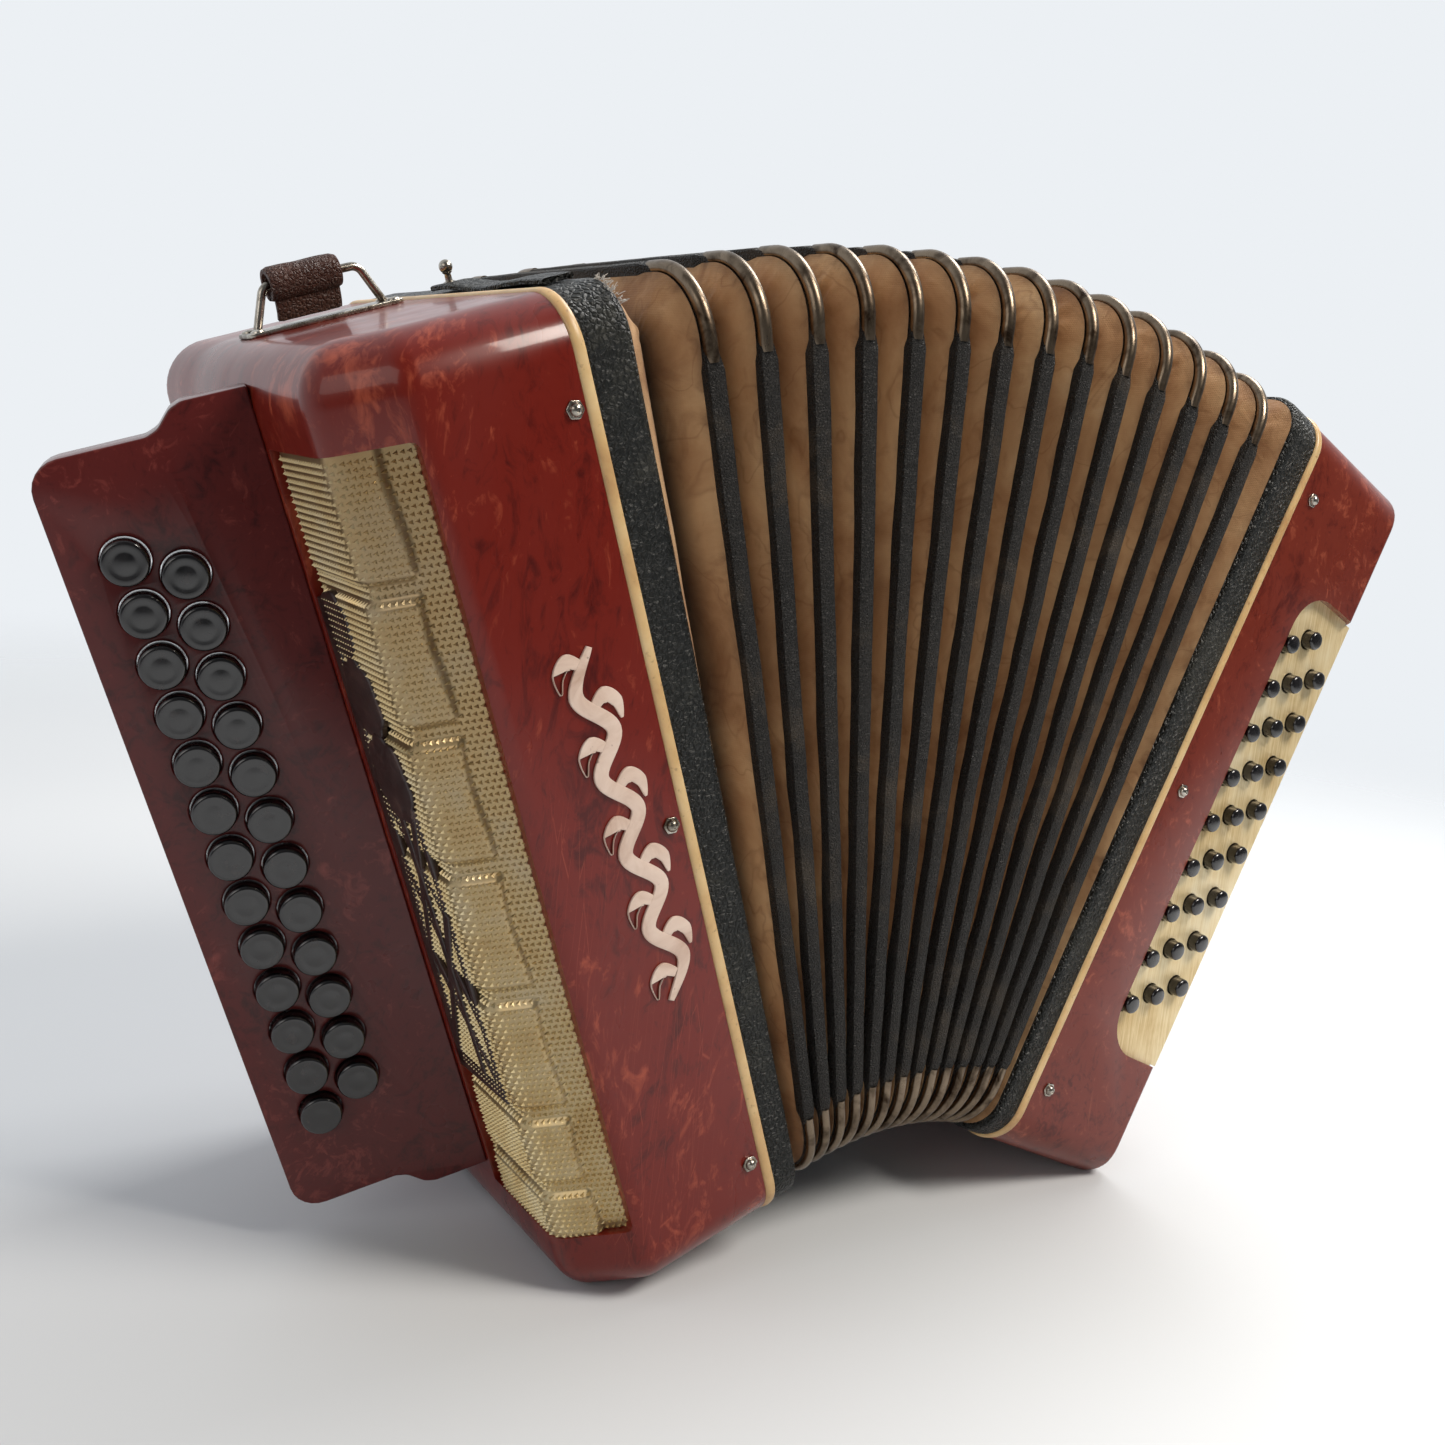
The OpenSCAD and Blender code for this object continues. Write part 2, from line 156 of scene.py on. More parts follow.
# ---------------------------------------------------------------- mesh helpers
def piece(name, verts, faces, place=METRES, sharp=35.0, weld=True):
    """A new mesh object from points in millimetres, placed in metres, with outward normals."""
    mesh = bpy.data.meshes.new(name)
    mesh.from_pydata(place_points(verts, place).tolist(), [], [tuple(map(int, f)) for f in faces])
    clean(mesh, weld)
    smooth(mesh, sharp)
    return new_object(name, mesh)


def clean(mesh, weld=True):
    bm = bmesh.new()
    bm.from_mesh(mesh)
    if weld:
        bmesh.ops.remove_doubles(bm, verts=bm.verts, dist=2e-6)
    bmesh.ops.dissolve_degenerate(bm, edges=bm.edges, dist=1e-7)
    bmesh.ops.recalc_face_normals(bm, faces=bm.faces)
    bm.to_mesh(mesh)
    bm.free()


def smooth(mesh, sharp):
    mesh.polygons.foreach_set("use_smooth", [True] * len(mesh.polygons))
    mesh.set_sharp_from_angle(angle=math.radians(sharp))
    mesh.update()


def apply_modifiers(obj, sharp=35.0):
    """Turns an object with modifiers, or a curve, into a plain mesh object of the same name."""
    bpy.context.view_layer.update()
    graph = bpy.context.evaluated_depsgraph_get()
    mesh = bpy.data.meshes.new_from_object(obj.evaluated_get(graph), depsgraph=graph)
    name = obj.name
    bpy.data.objects.remove(obj)
    mesh.name = name
    smooth(mesh, sharp)
    return new_object(name, mesh)


def ease(obj, width_mm, sharp=42.0):
    """Rounds an object's edges and evens out the shading of its flats."""
    mod = obj.modifiers.new("edges", "BEVEL")
    mod.width = width_mm * 0.001
    mod.segments = 3
    mod.limit_method = "ANGLE"
    mod.angle_limit = math.radians(sharp)
    mod.miter_outer = "MITER_ARC"
    mod = obj.modifiers.new("normals", "WEIGHTED_NORMAL")
    mod.keep_sharp = True
    mod.weight = 80
    return apply_modifiers(obj, sharp)


def cut(obj, cutter):
    mod = obj.modifiers.new("cut", "BOOLEAN")
    mod.operation = "DIFFERENCE"
    mod.solver = "EXACT"
    mod.object = cutter
    result = apply_modifiers(obj)
    bpy.data.objects.remove(cutter)
    return result


def join(name, objs):
    """One object from several meshes that ride on the same body."""
    bm = bmesh.new()
    for o in objs:
        bm.from_mesh(o.data)
        bpy.data.objects.remove(o)
    mesh = bpy.data.meshes.new(name)
    bm.to_mesh(mesh)
    bm.free()
    return new_object(name, mesh)


def point_values(obj, name, values):
    """One number for each point of a mesh, which its material reads."""
    layer = obj.data.attributes.new(name, "FLOAT", "POINT")
    layer.data.foreach_set("value", np.asarray(values, np.float32))


def thicken(obj, metres, offset):
    """Gives a sheet its thickness, on both sides of it at offset 0 and inwards at -1."""
    mod = obj.modifiers.new("sheet", "SOLIDIFY")
    mod.thickness = metres
    mod.offset = offset
    return obj


def dress(obj, body, material, nodes=()):
    """Gives a piece its material, its body and the CAD nodes it stands for."""
    obj.data.materials.clear()
    obj.data.materials.append(material)
    if body:
        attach(obj, body)
    if nodes:
        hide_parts(*nodes)
    return obj


def grid(n, m, wrap_n=False, wrap_m=False, start=0):
    """Quads of an n by m grid of points, row after row."""
    faces = []
    for i in range(n if wrap_n else n - 1):
        for j in range(m if wrap_m else m - 1):
            a, b = start + i * m + j, start + i * m + (j + 1) % m
            c, d = start + ((i + 1) % n) * m + (j + 1) % m, start + ((i + 1) % n) * m + j
            faces.append((a, b, c, d))
    return faces


def arc(cx, cy, r, a0, a1, n):
    """n + 1 points on an arc, angles in degrees."""
    return [(cx + r * math.cos(math.radians(a0 + (a1 - a0) * i / n)),
             cy + r * math.sin(math.radians(a0 + (a1 - a0) * i / n))) for i in range(n + 1)]


def circle(cx, cy, r, n):
    return arc(cx, cy, r, 0, 360, n)[:-1]


def fillet(points, radii, seg, closed=False):
    """Rounds the inner corners of a path; every corner gives seg + 1 points."""
    pts = [np.array(p, float) for p in points]
    n = len(pts)
    out = []
    for i in range(n):
        if not closed and i in (0, n - 1):
            out.append(pts[i])
            continue
        p, a, b = pts[i], pts[(i - 1) % n], pts[(i + 1) % n]
        u, v = (a - p) / np.linalg.norm(a - p), (b - p) / np.linalg.norm(b - p)
        half = math.acos(max(-1, min(1, float(u @ v)))) / 2
        reach = min(radii[i] / math.tan(half), 0.49 * np.linalg.norm(a - p),
                    0.49 * np.linalg.norm(b - p))
        r = reach * math.tan(half)
        mid = (u + v) / np.linalg.norm(u + v)
        centre = p + mid * r / math.sin(half)
        s, e = p + u * reach - centre, p + v * reach - centre
        full = math.pi - 2 * half
        for k in range(seg + 1):
            t = full * k / seg
            out.append(centre + (s * math.sin(full - t) + e * math.sin(t)) / math.sin(full))
    return out


def loop(inset=0.0, radius=None, corner=12, upright=30, level=14):
    """Points and outward normals (y, z, ny, nz) round a case seen from the side.

    The number of points doesn't depend on the inset."""
    r = max((CORNER_R if radius is None else radius) - inset, 2.0)
    half, low, high = CASE_D / 2 - inset, inset, CASE_H - inset
    out = []
    corners = [(half - r, high - r, 0), (-half + r, high - r, 90), (-half + r, low + r, 180),
               (half - r, low + r, 270)]
    for i, (cy, cz, a0) in enumerate(corners):
        for k in range(corner + 1):
            a = math.radians(a0 + 90 * k / corner)
            out.append((cy + r * math.cos(a), cz + r * math.sin(a), math.cos(a), math.sin(a)))
        ny, nz = math.cos(math.radians(a0 + 90)), math.sin(math.radians(a0 + 90))
        cy2, cz2, a2 = corners[(i + 1) % 4]
        p = np.array(out[-1][:2])
        q = np.array((cy2 + r * math.cos(math.radians(a2)), cz2 + r * math.sin(math.radians(a2))))
        steps = level if i % 2 == 0 else upright
        for k in range(1, steps):
            w = p + (q - p) * k / steps
            out.append((w[0], w[1], ny, nz))
    return np.array(out)


def ring(name, profile, place=METRES, radius=None, sharp=40.0, wobble=None):
    """A closed ring round the case from a closed profile of (x, inset).

    x is a number or a function of the height z. wobble moves the points of the finished ring."""
    loops = []
    for x, inset in profile:
        pts = loop(inset, radius)
        xs = np.array([x(z) if callable(x) else x for z in pts[:, 1]])
        loops.append(np.column_stack([xs, pts[:, 0], pts[:, 1]]))
    verts = np.stack(loops)
    if wobble:
        verts = wobble(verts)
    n, m = verts.shape[:2]
    return piece(name, verts.reshape(-1, 3), grid(n, m, True, True), place, sharp)


def lathe(name, profile, place=METRES, seg=40, sharp=40.0):
    """A turned solid from a profile of (radius, z) that starts and ends on the axis."""
    angles = np.linspace(0, 2 * math.pi, seg, endpoint=False)
    verts = [(r * math.cos(a), r * math.sin(a), z) for r, z in profile for a in angles]
    return piece(name, verts, grid(len(profile), seg, False, True), place, sharp)


def tube(name, path, radius, place=METRES, seg=14, sharp=50.0):
    """A round bar along a path of points."""
    pts = np.array(path, float)
    n = len(pts)
    verts, side = [], None
    for i in range(n):
        a, b = pts[max(i - 1, 0)], pts[min(i + 1, n - 1)]
        t = (b - a) / np.linalg.norm(b - a)
        if side is None:
            side = np.cross(t, (0, 0, 1.0) if abs(t[2]) < 0.9 else (0, 1.0, 0))
        side = side - t * (side @ t)
        side /= np.linalg.norm(side)
        other = np.cross(t, side)
        for k in range(seg):
            c = 2 * math.pi * k / seg
            verts.append(pts[i] + radius * (side * math.cos(c) + other * math.sin(c)))
    faces = grid(n, seg, False, True)
    faces += [tuple(range(seg))[::-1], tuple(range((n - 1) * seg, n * seg))]
    return piece(name, verts, faces, place, sharp)


def bar(name, rows, place, sharp=40.0):
    """A solid lofted through closed rows of points, with a flat end at each side."""
    n, m = len(rows), len(rows[0])
    verts = [v for row in rows for v in row]
    faces = grid(n, m, False, True) + [tuple(range(m)), tuple(range((n - 1) * m, n * m))]
    return piece(name, verts, faces, place, sharp)


def cutout(name, outlines, thick, round_mm, place=METRES, sharp=35.0):
    """A flat plate with holes and rounded edges, its face on z = 0 and its body below."""
    curve = bpy.data.curves.new(name, "CURVE")
    curve.dimensions = "2D"
    curve.fill_mode = "BOTH"
    for outline in outlines:
        spline = curve.splines.new("POLY")
        spline.points.add(len(outline) - 1)
        for point, (x, y) in zip(spline.points, outline):
            point.co = (x, y, 0, 1)
        spline.use_cyclic_u = True
    curve.extrude = thick / 2 - round_mm
    curve.bevel_depth = round_mm
    curve.bevel_resolution = 2
    curve.offset = -round_mm
    obj = apply_modifiers(new_object(name, curve), sharp)
    obj.data.transform(place @ shift(0, 0, -thick / 2))
    clean(obj.data)
    smooth(obj.data, sharp)
    return obj


# ---------------------------------------------------------------- material helpers
def srgb(r, g, b):
    """Linear colour of a display colour given as 0 to 255."""
    return tuple(v / 3294.6 if v <= 10.3 else ((v / 255 + 0.055) / 1.055) ** 2.4
                 for v in (r, g, b)) + (1.0,)


class Surface:
    """A Principled material and short calls for the nodes that feed it."""

    def __init__(self, name, **sockets):
        self.material = bpy.data.materials.new(name)
        self.material.use_nodes = True
        self.tree = self.material.node_tree
        self.shader = next(n for n in self.tree.nodes if n.type == "BSDF_PRINCIPLED")
        for key, value in sockets.items():
            self.shader.inputs[key.replace("_", " ")].default_value = value
        self.coords = self.tree.nodes.new("ShaderNodeTexCoord").outputs["Object"]

    def node(self, kind, out=0, props=None, **inputs):
        node = self.tree.nodes.new("ShaderNode" + kind)
        for key, value in (props or {}).items():
            setattr(node, key, value)
        for key, value in inputs.items():
            socket = node.inputs[int(key[1:]) if key[0] == "i" and key[1:].isdigit() else key]
            if isinstance(value, bpy.types.NodeSocket):
                self.tree.links.new(value, socket)
            else:
                socket.default_value = value
        return node.outputs[out]

    def space(self, degrees=0.0, stretch=(1, 1, 1)):
        """Object coordinates turned about Y and stretched, so that z follows a leaning case."""
        return self.node("Mapping", Vector=self.coords, Rotation=(0, math.radians(degrees), 0),
                         Scale=stretch)

    def noise(self, where, scale, detail=3.0, rough=0.55, distortion=0.0):
        return self.node("TexNoise", Vector=where, Scale=scale, Detail=detail, Roughness=rough,
                         Distortion=distortion)

    def cells(self, where, scale, feature="F1", jitter=1.0, out=0):
        return self.node("TexVoronoi", out, {"feature": feature}, Vector=where, Scale=scale,
                         Randomness=jitter)

    def ramp(self, factor, stops):
        node = self.tree.nodes.new("ShaderNodeValToRGB")
        points = node.color_ramp.elements
        points[0].position, points[0].color = stops[0]
        points[1].position, points[1].color = stops[-1]
        for position, colour in stops[1:-1]:
            points.new(position).color = colour
        self.tree.links.new(factor, node.inputs[0])
        return node.outputs[0]

    def math(self, operation, a, b=0.0, clamp=False):
        return self.node("Math", 0, {"operation": operation, "use_clamp": clamp}, i0=a, i1=b)

    def fit(self, value, low, high, to_low=0.0, to_high=1.0):
        return self.node("MapRange", 0, {"clamp": True}, i0=value, i1=low, i2=high, i3=to_low,
                         i4=to_high)

    def mix(self, factor, a, b, blend="MIX"):
        node = self.tree.nodes.new("ShaderNodeMix")
        node.data_type = "RGBA"
        node.blend_type = blend
        for index, value in ((0, factor), (6, a), (7, b)):
            if isinstance(value, bpy.types.NodeSocket):
                self.tree.links.new(value, node.inputs[index])
            else:
                node.inputs[index].default_value = value
        return node.outputs[2]

    def attribute(self, name):
        return self.node("Attribute", 2, {"attribute_name": name})

    def bump(self, height, strength, distance, after=None):
        inputs = {"Height": height, "Strength": strength, "Distance": distance}
        if after is not None:
            inputs["Normal"] = after
        return self.node("Bump", 0, None, **inputs)

    def set(self, **inputs):
        for key, value in inputs.items():
            self.tree.links.new(value, self.shader.inputs[key.replace("_", " ")])
        return self.material


def celluloid(name, lean, deep, mid, pale, seed, streak=0.42):
    """Pearloid celluloid: swirled feathers of paler pearl in a deep colour, under a gloss coat."""
    s = Surface(name, Roughness=0.30, Coat_Weight=0.3, Coat_Roughness=0.08)
    s.shader.inputs["Specular IOR Level"].default_value = 0.22
    place = s.space(lean, (1.0, 1.0, streak))
    place = s.node("VectorMath", 0, {"operation": "ADD"}, i0=place,
                   i1=(seed, seed * 0.7, seed * 1.3))
    warp = s.node("TexNoise", 1, None, Vector=place, Scale=26.0, Detail=3.0, Roughness=0.6)
    warp = s.node("VectorMath", 0, {"operation": "MULTIPLY_ADD"}, i0=warp,
                  i1=(0.030, 0.030, 0.030), i2=place)
    cloud = s.noise(place, 11.0, 3.0, 0.6, 0.8)
    feather = s.noise(warp, 84.0, 5.0, 0.64, 1.2)
    fine = s.noise(warp, 300.0, 4.0, 0.6, 0.9)
    flake = s.math("ADD", s.math("MULTIPLY", feather, 0.62), s.math("MULTIPLY", fine, 0.38))
    tone = s.math("ADD", flake, s.math("MULTIPLY", s.math("SUBTRACT", cloud, 0.5), 0.42))
    soft_pale = tuple(0.68 * m + 0.32 * p for m, p in zip(mid, pale))
    colour = s.ramp(tone, [(0.34, deep), (0.47, mid), (0.56, mid), (0.63, soft_pale), (0.80, pale)])
    scratch = s.cells(s.space(lean + 24, (3.0, 3.0, 0.16)), 95.0, "DISTANCE_TO_EDGE")
    scratch = s.fit(scratch, 0.0, 0.012, 1.0, 0.0)
    worn = s.fit(s.noise(place, 17.0, 2.0), 0.60, 0.68)
    scratch = s.math("MULTIPLY", scratch, worn)
    colour = s.mix(s.math("MULTIPLY", scratch, 0.35), colour, pale)
    gloss = s.fit(s.noise(place, 34.0, 4.0), 0.3, 0.7, 0.24, 0.40)
    ripple = s.bump(s.noise(place, 16.0, 2.0), 0.10, 0.004)
    return s.set(Base_Color=colour, Roughness=gloss, Normal=ripple)


def leathercloth(name, colour, worn, scale=520.0, depth=0.0006, rough=(0.36, 0.6), lean=0.0):
    """Grained leather or leathercloth, with paler worn ridges."""
    s = Surface(name, Roughness=0.5)
    s.shader.inputs["Specular IOR Level"].default_value = 0.3
    place = s.space(lean, (1, 1, 1))
    warp = s.node("TexNoise", 1, None, Vector=place, Scale=180.0, Detail=2.0)
    warp = s.node("VectorMath", 0, {"operation": "MULTIPLY_ADD"}, i0=warp, i1=(0.0022,) * 3,
                  i2=place)
    pebble = s.fit(s.cells(warp, scale, "DISTANCE_TO_EDGE"), 0.0, 0.32)
    fine = s.noise(place, scale * 3.2, 3.0)
    height = s.math("ADD", pebble, s.math("MULTIPLY", fine, 0.5))
    patches = s.noise(place, 24.0, 5.0, 0.65, 0.4)
    tint = s.ramp(patches, [(0.30, tuple(0.62 * c for c in colour[:3]) + (1,)), (0.55, colour),
                            (0.80, worn)])
    ridge = s.math("MULTIPLY", pebble, s.fit(patches, 0.50, 0.72, 0.0, 0.35))
    tint = s.mix(ridge, tint, worn)
    gloss = s.fit(patches, 0.3, 0.7, rough[0], rough[1])
    return s.set(Base_Color=tint, Roughness=gloss, Normal=s.bump(height, 0.9, 1.8 * depth))


def metal(name, colour, dark, rough=(0.18, 0.42), scale=90.0, metallic=1.0, lean=0.0):
    """Worn plated metal, tarnished in patches, with fine scuffs."""
    s = Surface(name, Metallic=metallic)
    place = s.space(lean, (1, 1, 1))
    patches = s.noise(place, scale, 5.0, 0.65, 0.5)
    rubbed = tuple(min(1, 1.15 * c) for c in colour[:3]) + (1,)
    tint = s.ramp(patches, [(0.34, dark), (0.54, colour), (0.8, rubbed)])
    scuff = s.noise(s.space(lean + 35, (1.0, 6.0, 0.5)), scale * 6, 3.0)
    gloss = s.fit(s.math("ADD", patches, s.math("MULTIPLY", scuff, 0.5)), 0.45, 1.05, rough[1],
                  rough[0])
    return s.set(Base_Color=tint, Roughness=gloss, Normal=s.bump(scuff, 0.12, 0.0003))


# ---------------------------------------------------------------- materials
RED = celluloid("red_celluloid_treble", LEAN_TREBLE, srgb(72, 12, 7), srgb(104, 25, 15),
                srgb(176, 84, 58), 0.0)
RED_BASS = celluloid("red_celluloid_bass", -LEAN_BASS, srgb(78, 20, 12), srgb(106, 38, 25),
                     srgb(170, 88, 64), 4.0, 0.8)
BOARD_RED = celluloid("board_celluloid", LEAN_TREBLE, srgb(58, 16, 16), srgb(84, 26, 24),
                      srgb(140, 66, 58), 9.0, 0.9)
CREAM = Surface("cream_bead", Roughness=0.38, Subsurface_Weight=0.08)
aged = CREAM.noise(CREAM.space(), 38.0, 5.0, 0.6, 0.3)
grime = CREAM.noise(CREAM.space(), 420.0, 3.0)
CREAM_BEAD = CREAM.set(
    Base_Color=CREAM.mix(CREAM.fit(grime, 0.62, 0.74, 0.0, 0.5),
                         CREAM.ramp(aged, [(0.3, srgb(176, 134, 88)), (0.5, srgb(203, 165, 114)),
                                           (0.7, srgb(216, 184, 136))]), srgb(120, 82, 50)),
    Normal=CREAM.bump(aged, 0.12, 0.0006))
BLACK_CLOTH = leathercloth("black_leathercloth", srgb(17, 19, 17), srgb(58, 57, 50), 520.0, 0.00045,
                           (0.28, 0.5))
EDGE_CLOTH = leathercloth("edge_cloth", srgb(23, 20, 17), srgb(72, 62, 50), 900.0, 0.0003,
                          (0.42, 0.62))
BROWN_LEATHER = leathercloth("brown_leather", srgb(74, 44, 34), srgb(140, 100, 72), 700.0, 0.0003,
                             (0.38, 0.6))
CORNER_METAL = metal("corner_metal", srgb(122, 108, 92), srgb(52, 40, 30), (0.22, 0.44))
NICKEL = metal("nickel", srgb(176, 170, 160), srgb(92, 82, 70), (0.16, 0.34), 160.0)
BLACK_GLOSS = Surface("black_button", Coat_Weight=0.6, Coat_Roughness=0.04)
dust = BLACK_GLOSS.noise(BLACK_GLOSS.space(), 260.0, 4.0)
BLACK_BUTTON = BLACK_GLOSS.set(
    Base_Color=BLACK_GLOSS.ramp(dust, [(0.4, srgb(11, 9, 11)), (0.62, srgb(20, 17, 19)),
                                       (0.8, srgb(46, 38, 36))]),
    Roughness=BLACK_GLOSS.fit(dust, 0.35, 0.7, 0.14, 0.3),
    Normal=BLACK_GLOSS.bump(BLACK_GLOSS.noise(BLACK_GLOSS.space(), 90.0), 0.06, 0.001))


def wall_cloth():
    """Tan bellows cloth: fine weave, water stains, painted shade that darkens it towards the
    valleys, and patchy darkening near the fold edges.
    """
    s = Surface("bellows_cloth", Roughness=0.74, Sheen_Weight=0.12, Sheen_Roughness=0.5)
    s.shader.inputs["Specular IOR Level"].default_value = 0.25
    place = s.space()
    stain = s.noise(place, 19.0, 6.0, 0.62, 0.6)
    blot = s.noise(place, 55.0, 5.0, 0.6, 1.2)
    ground = s.ramp(stain, [(0.30, srgb(132, 92, 58)), (0.46, srgb(166, 128, 90)),
                            (0.60, srgb(186, 152, 112)), (0.78, srgb(204, 176, 140))])
    ground = s.mix(s.fit(blot, 0.56, 0.70, 0.0, 0.45), ground, srgb(128, 90, 60))
    ring_mark = s.math("ABSOLUTE", s.math("SUBTRACT", s.noise(place, 27.0, 3.0, 0.5, 0.5), 0.52))
    ground = s.mix(s.fit(ring_mark, 0.0, 0.012, 0.30, 0.0), ground, srgb(112, 72, 44))
    # Painted shade: the cloth turns dark brown as it goes down into the valley between two folds.
    depth = s.attribute("depth")
    ground = s.mix(s.fit(depth, 0.35, 1.0, 0.0, 0.80), ground, srgb(58, 40, 27))
    # Darker in patches near the fold edges.
    edge = s.math("MULTIPLY", s.fit(depth, 0.0, 0.16, 1.0, 0.0), s.fit(blot, 0.35, 0.65))
    ground = s.mix(s.math("MULTIPLY", edge, 0.55), ground, srgb(70, 48, 32))
    weave_a, weave_b = (s.node("TexWave", 1, {"bands_direction": direction}, Vector=place,
                               Scale=420.0, Distortion=0.6) for direction in "ZY")
    weave = s.math("MAXIMUM", weave_a, weave_b)
    rumple = s.noise(place, 130.0, 4.0, 0.55, 0.8)
    normal = s.bump(rumple, 0.45, 0.0012, s.bump(weave, 0.25, 0.00025))
    return s.set(Base_Color=ground, Normal=normal)


def gold_sheet():
    """Gold-lacquered embossed sheet: full gold on its points, with painted shade that darkens it to
    brown towards their bases and on the flat sheet between them.
    """
    s = Surface("gold_sheet", Metallic=0.8)
    place = s.space(LEAN_TREBLE)
    tone = s.attribute("tone")
    wear = s.noise(place, 60.0, 5.0, 0.6, 0.4)
    bright = s.ramp(wear, [(0.3, srgb(226, 200, 146)), (0.5, srgb(246, 226, 174)),
                           (0.75, srgb(253, 242, 206))])
    # Painted shade: a low tone darkens the gold towards brown, so the hollows look shaded and the
    # points stand out.
    colour = s.mix(s.fit(tone, 0.0, 0.8, 0.66, 0.0), bright, srgb(104, 72, 34))
    # Darker brown towards the top of the grille.
    height = s.node("SeparateXYZ", 2, None, Vector=s.coords)
    top_darkening = s.fit(height, 0.05, 0.27, 0.0, 0.5)
    colour = s.mix(top_darkening, colour, srgb(120, 88, 56))
    return s.set(Base_Color=colour, Roughness=s.fit(wear, 0.3, 0.7, 0.26, 0.42),
                 Normal=s.bump(s.noise(place, 900.0, 2.0), 0.12, 0.0002))


def cream_plate():
    """Aged cream metal, brushed along the plate."""
    s = Surface("cream_plate", Metallic=0.35, Roughness=0.42)
    place = s.space(-LEAN_BASS, (1.0, 1.0, 0.04))
    brushed = s.noise(place, 1500.0, 3.0)
    aged_plate = s.noise(s.space(-LEAN_BASS), 30.0, 4.0)
    tone = s.math("ADD", s.math("MULTIPLY", brushed, 0.4), s.math("MULTIPLY", aged_plate, 0.6))
    colour = s.ramp(tone, [(0.35, srgb(196, 168, 116)), (0.5, srgb(224, 203, 158)),
                           (0.66, srgb(238, 224, 190))])
    return s.set(Base_Color=colour, Normal=s.bump(brushed, 0.2, 0.0002))


def dark_plastic():
    """Dark brown moulded trim, dusty and a little matt."""
    s = Surface("dark_plastic", Coat_Weight=0.15, Coat_Roughness=0.3)
    grain = s.noise(s.space(LEAN_TREBLE), 120.0, 5.0, 0.6, 0.5)
    colour = s.ramp(grain, [(0.3, srgb(30, 17, 15)), (0.55, srgb(48, 29, 26)),
                            (0.8, srgb(84, 56, 46))])
    return s.set(Base_Color=colour, Roughness=s.fit(grain, 0.3, 0.7, 0.34, 0.5),
                 Normal=s.bump(grain, 0.2, 0.0006))


def enamel():
    """Pinkish cream enamel with small chips and stains."""
    s = Surface("cream_enamel", Coat_Weight=0.25, Coat_Roughness=0.2)
    grain = s.noise(s.space(LEAN_TREBLE), 70.0, 5.0, 0.6, 0.8)
    spot = s.fit(s.noise(s.space(), 300.0, 2.0), 0.70, 0.76, 0.0, 0.6)
    base = s.ramp(grain, [(0.3, srgb(188, 158, 140)), (0.5, srgb(212, 188, 172)),
                          (0.75, srgb(226, 206, 192))])
    return s.set(Base_Color=s.mix(spot, base, srgb(120, 92, 80)),
                 Roughness=s.fit(grain, 0.3, 0.7, 0.3, 0.46), Normal=s.bump(grain, 0.15, 0.0006))


def spruce():
    """Pale wood with its growth rings, for the reed blocks."""
    s = Surface("spruce", Roughness=0.6)
    place = s.space(0.0, (1.0, 1.0, 0.08))
    rings = s.node("TexWave", 1, {"bands_direction": "Y"}, Vector=place, Scale=70.0,
                   Distortion=2.2, Detail=3.0)
    colour = s.ramp(rings, [(0.2, srgb(150, 112, 70)), (0.6, srgb(196, 160, 108)),
                            (0.9, srgb(206, 174, 124))])
    return s.set(Base_Color=colour, Normal=s.bump(rings, 0.2, 0.0004))


def frayed():
    """Torn threads of the cloth under the leather."""
    s = Surface("frayed_cloth", Roughness=0.8)
    grain = s.noise(s.space(), 900.0, 5.0, 0.7, 1.5)
    colour = s.ramp(grain, [(0.3, srgb(150, 140, 130)), (0.55, srgb(206, 200, 192)),
                            (0.8, srgb(226, 222, 214))])
    return s.set(Base_Color=colour, Normal=s.bump(grain, 0.5, 0.0008))


WALL_CLOTH = wall_cloth()
GOLD = gold_sheet()
PLATE = cream_plate()
DARK_PLASTIC = dark_plastic()
ENAMEL = enamel()
SPRUCE = spruce()
FRAYED = frayed()


def repaint(node, material):
    """Gives a CAD node that stays in view its procedural material."""
    NODES[node].data.materials.clear()
    NODES[node].data.materials.append(material)


repaint("treble_reed_pan", SPRUCE)
repaint("bass_reed_pan", SPRUCE)


# ---------------------------------------------------------------- cases
def round_in(edge, z, inset):
    """How far a rounded top or bottom edge of this radius has drawn in at height z."""
    from_end = min(z - inset, CASE_H - inset - z)
    r = max(edge - inset, 0.5)
    if from_end >= r:
        return 0.0
    return r - math.sqrt(max(r * r - (r - from_end) ** 2, 0.0))


def case_rows(inset, edge, levels, bevel_x, bevel_y, soft):
    """Rows of points round a case's plan, one for each level. All rows have the same points."""
    rows = []
    for share in levels:
        z = inset + share * (CASE_H - 2 * inset)
        ix = inset + round_in(edge, z, inset)
        iy = inset + round_in(CORNER_R, z, inset)
        slant = math.atan2(bevel_y, bevel_x)
        draw = (ix + iy) / 2
        left = CASE_W - bevel_x - draw * math.tan(slant / 2) + (iy - draw) / math.tan(slant)
        right_y = (FRONT + bevel_y + draw * math.tan((math.pi / 2 - slant) / 2)
                   + (draw - ix) * math.tan(slant))
        path = [(CASE_START, FRONT + iy), (left, FRONT + iy), (CASE_W - ix, right_y),
                (CASE_W - ix, -FRONT - iy), (CASE_START, -FRONT - iy)]
        back = max(edge - max(ix, iy), 0.6)
        radii = [0, max(soft - 0.5 * draw, 0.6), max(soft - 0.5 * draw, 0.6), back, 0]
        rows.append([(x, y, z) for x, y in fillet(path, radii, 8)])
    return rows


